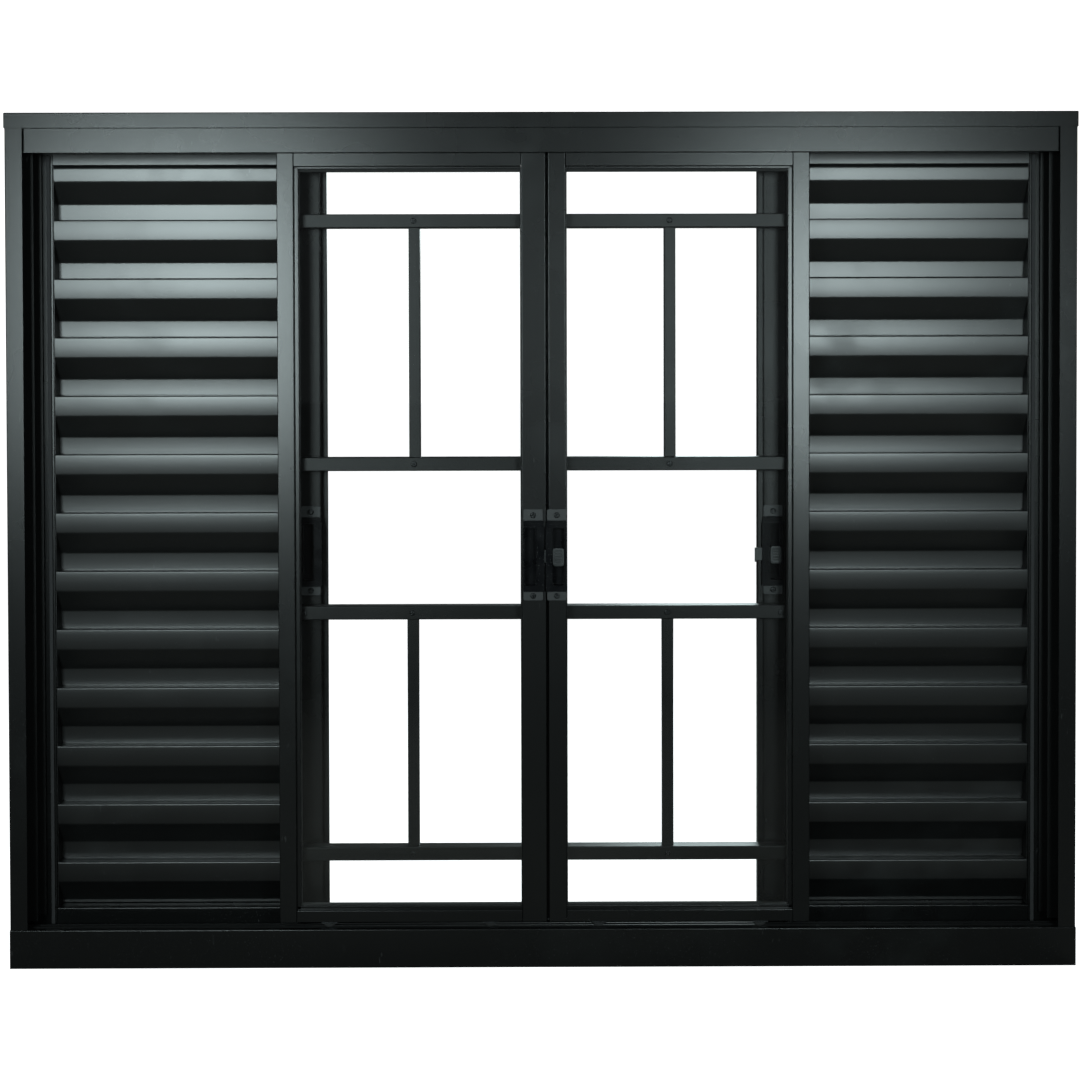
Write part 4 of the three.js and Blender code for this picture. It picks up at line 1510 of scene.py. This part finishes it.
@dataclass
class Sash(Assembly):
    """A glazed sash that slides on the room side."""

    side: Side
    front: float = 12.0
    deep: float = 20.0
    sheet: float = 1.2
    low: float = 60.5
    high: float = 1162.0
    lip_depth: float = 5.0
    rail_top: float = 1125.5
    rail_bottom: float = 77.0

    def __post_init__(self) -> None:
        """Works out the leaf's name and body."""
        self.body = f"sash_{self.side.word}"

    def build(self) -> None:
        """Builds stiles, rails, glazing, pull and rollers."""
        right, s = self.side is Side.RIGHT, self.side.value
        outer = (352.5, 376.5) if right else (-372.0, -348.0)
        meeting = (8.6, 33.6) if right else (-29.1, 5.4)
        y0, y1 = depth(self.front), depth(self.front + self.deep)
        pull = Pull(
            self.body, self.body, -s, 34.1 if right else -26.9, y0, latched=right, rim=3.0 if right else 1.4,
        )
        self._stile("outer", outer, 5.5, -s, y0, y1)
        self._stile("meeting", meeting, 1.0, s, y0, y1, pull)
        if not right:
            self._interlock(y1)
        self._rails(y0, y1)
        self._glazing()
        middle = sum(outer) / 2
        Leaves.add_pile(self, (middle - 2.5, middle + 2.5), (y1 - 0.3, y1 + 1.6), (62.0, 1146.0))
        pull.build()
        if right:
            ThumbLatch(pull, f"{self.body}_latch", 9.0, raised=True).build()
        RollerSet(self.body, self.body).build()

    def _stile(
        self, name: str, x: Point, lip: float, inwards: int, y0: float, y1: float, pull: Pull | None = None,
    ) -> None:
        """A box tube with its glazing lip.

        Args:
            name: Outer or meeting.
            x: The tube's limits across.
            lip: How far the lip stands into the opening.
            inwards: The way to the glass, -1 or 1.
            y0: The room-side face.
            y1: The outside face.
            pull: The pull that is let into it, if there is one.
        """
        stile = SquareTube(
            f"{self.body}_{name}_tube", x, (y0, y1), (self.low, self.high), Run.UP, self.sheet, 1.5
        ).build()
        if pull is not None:
            tool = Bench.block(
                "chamber_tool", (x[0] + self.sheet, x[1] - self.sheet), (y0 + self.sheet, y1 - self.sheet),
                (pull.middle - 60, pull.middle + 60),
            )
            Bench.weld(stile, tool, "DIFFERENCE")
            Leaves.cut_cup(stile, pull, y0, self.sheet)
            Bench.smooth(stile)
        self.show(stile, COAT, [f"{self.body}_{name}_stile"])
        edge = x[1] if inwards > 0 else x[0]
        span = sorted((edge - inwards * 0.4, edge + inwards * lip))
        bead = Bench.block(
            f"{self.body}_{name}_glazing_lip", (span[0], span[1]),
            (y0 + self.lip_depth, y0 + self.lip_depth + self.sheet),
            (self.rail_bottom + 0.3, self.rail_top - 0.3),
        )
        Bench.round_edges(bead, 0.3, 2)
        Bench.smooth(bead)
        self.show(bead, COAT)

    def _interlock(self, back: float) -> None:
        """The strip behind the left meeting stile that laps over the right one."""
        face = back + 0.3
        path = [(-6.6, face), (13.6, face)]
        strip = FoldedSheet(
            f"{self.body}_interlock", path, Run.UP, self.low + 1, self.high - 1, self.sheet, 0.0, left=True,
        ).build()
        self.show(strip, TRACK_COAT)

    def _rails(self, y0: float, y1: float) -> None:
        """The top rail, open upwards, and the bottom rail, open downwards, with their glazing lips."""
        for name in ("top", "bottom"):
            node = f"{self.body}_{name}_rail"
            low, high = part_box(node)
            top = name == "top"
            web, mouth = (self.rail_top, self.high) if top else (self.rail_bottom, self.low)
            inner = (
                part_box(f"{self.body}_glass")[0].x / MM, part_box(f"{self.body}_glass")[1].x / MM,
            )
            path = [(y0, mouth), (y0, web), (y1, web), (y1, mouth)]
            rail = FoldedSheet(
                f"{self.body}_{name}_channel", path, Run.ACROSS, inner[0], inner[1], self.sheet, 1.4,
                left=top,
            ).build()
            self.show(rail, COAT, [node])
            z = sorted((web + (0.4 if top else -0.4), web - 2.1 if top else web + 4.0))
            lip = Bench.block(
                f"{self.body}_{name}_glazing_lip", (low.x / MM, high.x / MM),
                (y0 + self.lip_depth, y0 + self.lip_depth + self.sheet), (z[0], z[1]),
            )
            Bench.round_edges(lip, 0.3, 2)
            Bench.smooth(lip)
            self.show(lip, COAT)

    def _glazing(self) -> None:
        """The pane keeps its shape. The rubber round it gets mitred corners and a sloped face."""
        self.dress(f"{self.body}_glass", GLASS)
        node = f"{self.body}_glazing_bead"
        (x0, y0, z0), (x1, y1, z1) = (tuple(c / MM for c in v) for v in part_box(node))
        bead = Bench.block(f"{self.body}_glazing_rubber", (x0, x1), (y0, y1), (z0, z1))
        Bench.select(bead, "FACE", lambda f: abs(f.normal.y) > 0.9)
        bpy.ops.mesh.inset(thickness=6.0 * MM)
        bpy.ops.mesh.bridge_edge_loops()
        Bench.leave()
        s = self.side.value
        inner = (x0 + 6.0, x1 - 6.0)[self.side is Side.LEFT] * MM
        Bench.select(bead, "VERT", lambda v: abs(v.co.x - inner) < 1e-4)
        bpy.ops.transform.translate(value=(-s * 4.6 * MM, 0, 0))
        Bench.leave()
        Bench.outward(bead)
        Bench.round_edges(bead, 1.6, 3)
        Bench.smooth(bead)
        self.show(bead, RUBBER, [node])


# ------------------------------------------------------------------------------------ studio


@dataclass
class Softbox:
    """A soft rectangular lamp: its middle, aim and size in metres, its power and its grid."""

    name: str
    place: tuple[float, float, float]
    aim: tuple[float, float, float]
    size: tuple[float, float]
    power: float
    spread: float = 100.0
    colour: tuple[float, float, float] = (0.84, 1.0, 1.01)

    def build(self, panes: bpy.types.Collection) -> None:
        """Sets the lamp up, unseen itself and unmirrored by the panes."""
        data = bpy.data.lights.new(self.name, "AREA")
        data.shape = "RECTANGLE"
        data.size, data.size_y = self.size
        data.energy = self.power
        data.color = self.colour
        data.spread = math.radians(self.spread)
        lamp = bpy.data.objects.new(self.name, data)
        bpy.context.scene.collection.objects.link(lamp)
        lamp.location = self.place
        lamp.rotation_euler = (Vector(self.aim) - Vector(self.place)).to_track_quat("-Z", "Y").to_euler()
        lamp.visible_camera = False
        lamp.visible_transmission = False
        lamp.light_linking.receiver_collection = panes


@dataclass
class Studio:
    """The floor, the white surround, the lamps and the camera."""

    lens: float = 50.1
    camera_at: tuple[float, float, float] = (-0.0093, -2.17, 0.8499)
    pitch: float = -0.857
    yaw: float = -0.174
    roll: float = 0.132
    shift: float = -0.1433
    floor_size: float = 60.0
    surround: float = 1.25
    dark: float = 0.05
    floor_lit: float = 1.12

    def build(self) -> None:
        """Builds the studio."""
        scene = bpy.context.scene
        scene.view_settings.view_transform = "Standard"
        scene.view_settings.look = "None"
        self._camera()
        self._floor()
        self._surround()
        panes = bpy.data.collections.new("unmirrored_panes")
        for pane in bpy.data.objects:
            if pane.type == "MESH" and pane.data.materials and pane.data.materials[0].name.startswith(
                GLASS.name
            ):
                panes.objects.link(pane)
        for entry in panes.collection_objects:
            entry.light_linking.link_state = "EXCLUDE"
        for lamp in (
            Softbox("softbox_left", (-1.0, -2.25, 1.04), (-0.4, 0.0, 0.9), (0.66, 0.8), 8.2),
            Softbox("softbox_right", (0.82, -2.25, 1.0), (0.38, 0.0, 0.9), (0.5, 0.72), 5.8),
            Softbox("softbox_behind", (0.9, 2.6, 1.9), (0.0, 0.0, 0.6), (1.4, 1.4), 16.0),
        ):
            lamp.build(panes)

    def _camera(self) -> None:
        """The camera, level but for small tilts, with its view shifted down."""
        data = bpy.data.cameras.new("camera")
        data.lens = self.lens
        data.sensor_width = 36.0
        data.shift_y = self.shift
        camera = bpy.data.objects.new("camera", data)
        bpy.context.scene.collection.objects.link(camera)
        turn = (
            Matrix.Rotation(math.radians(self.yaw), 4, "Z")
            @ Matrix.Rotation(math.radians(self.pitch), 4, "X")
            @ Matrix.Rotation(math.radians(self.roll), 4, "Y")
            @ Matrix.Rotation(math.pi / 2, 4, "X")
        )
        camera.matrix_world = Matrix.Translation(self.camera_at) @ turn
        bpy.context.scene.camera = camera

    def _floor(self) -> None:
        """A wide pale floor under the sill, dull to the reflections in the steel."""
        bpy.ops.object.select_all(action="DESELECT")
        bpy.ops.mesh.primitive_plane_add(size=self.floor_size, location=(0, 0, -0.0005))
        floor = Bench.added("studio_floor")
        bpy.ops.object.transform_apply(location=True, rotation=True, scale=True)
        paper = bpy.data.materials.new("studio_paper")
        paper.use_nodes = True
        nodes = Nodes(paper.node_tree)
        pale = nodes.add("ShaderNodeBsdfDiffuse", {"Color": (0.93, 0.93, 0.93, 1.0)})
        lit = nodes.add("ShaderNodeEmission", {"Strength": self.floor_lit})
        both = nodes.add("ShaderNodeAddShader")
        nodes.link(pale.outputs[0], both.inputs[0])
        nodes.link(lit.outputs[0], both.inputs[1])
        dull = nodes.add("ShaderNodeBsdfDiffuse", {"Color": (0.3, 0.28, 0.26, 1.0)})
        out = nodes.add("ShaderNodeOutputMaterial")
        nodes.link(self._choose(nodes, both, dull), out.inputs["Surface"])
        floor.data.materials.append(paper)

    def _surround(self) -> None:
        """A white surround that the steel reflects as a dark room."""
        world = bpy.data.worlds.new("studio")
        world.use_nodes = True
        bpy.context.scene.world = world
        nodes = Nodes(world.node_tree)
        white = nodes.add("ShaderNodeBackground", {"Color": (1, 1, 1, 1), "Strength": self.surround})
        room = nodes.add("ShaderNodeBackground", {"Color": (0.9, 0.97, 1, 1), "Strength": self.dark})
        out = nodes.add("ShaderNodeOutputWorld")
        nodes.link(self._choose(nodes, white, room), out.inputs["Surface"])

    @staticmethod
    def _choose(nodes: Nodes, seen: bpy.types.Node, met: bpy.types.Node) -> bpy.types.NodeSocket:
        """Shows one shader to the eye, also through panes, and another to light that has bounced.

        Args:
            nodes: The tree's wrapper.
            seen: The shader for the eye.
            met: The shader for reflections and scattered light.

        Returns:
            The socket of the mixed shader.
        """
        path, mix = nodes.add("ShaderNodeLightPath"), nodes.add("ShaderNodeMixShader")
        bounced = nodes.math("ADD", path.outputs["Glossy Depth"], path.outputs["Diffuse Depth"], True)
        straight = nodes.math("SUBTRACT", path.outputs["Is Transmission Ray"], bounced, True)
        nodes.link(nodes.math("ADD", path.outputs["Is Camera Ray"], straight, True), mix.inputs[0])
        nodes.link(met.outputs[0], mix.inputs[1])
        nodes.link(seen.outputs[0], mix.inputs[2])
        return mix.outputs[0]


# ------------------------------------------------------------------------------------ run


def main() -> None:
    """Builds the studio and every sub-assembly, from the frame inwards."""
    logging.basicConfig(level=logging.INFO, format="%(message)s")
    steps: list[OuterFrame | Grille | FixedPanel | Shutter | Sash] = [OuterFrame(), Grille()]
    for side in Side:
        steps += [FixedPanel(side), Shutter(side, lip_front=66.0 if side is Side.RIGHT else 80.0), Sash(side)]
    for step in steps:
        step.build()
        LOG.info("%s built on body %s", type(step).__name__, step.body)
    Screw.put_away()
    Studio().build()


if __name__ == "__main__":
    main()
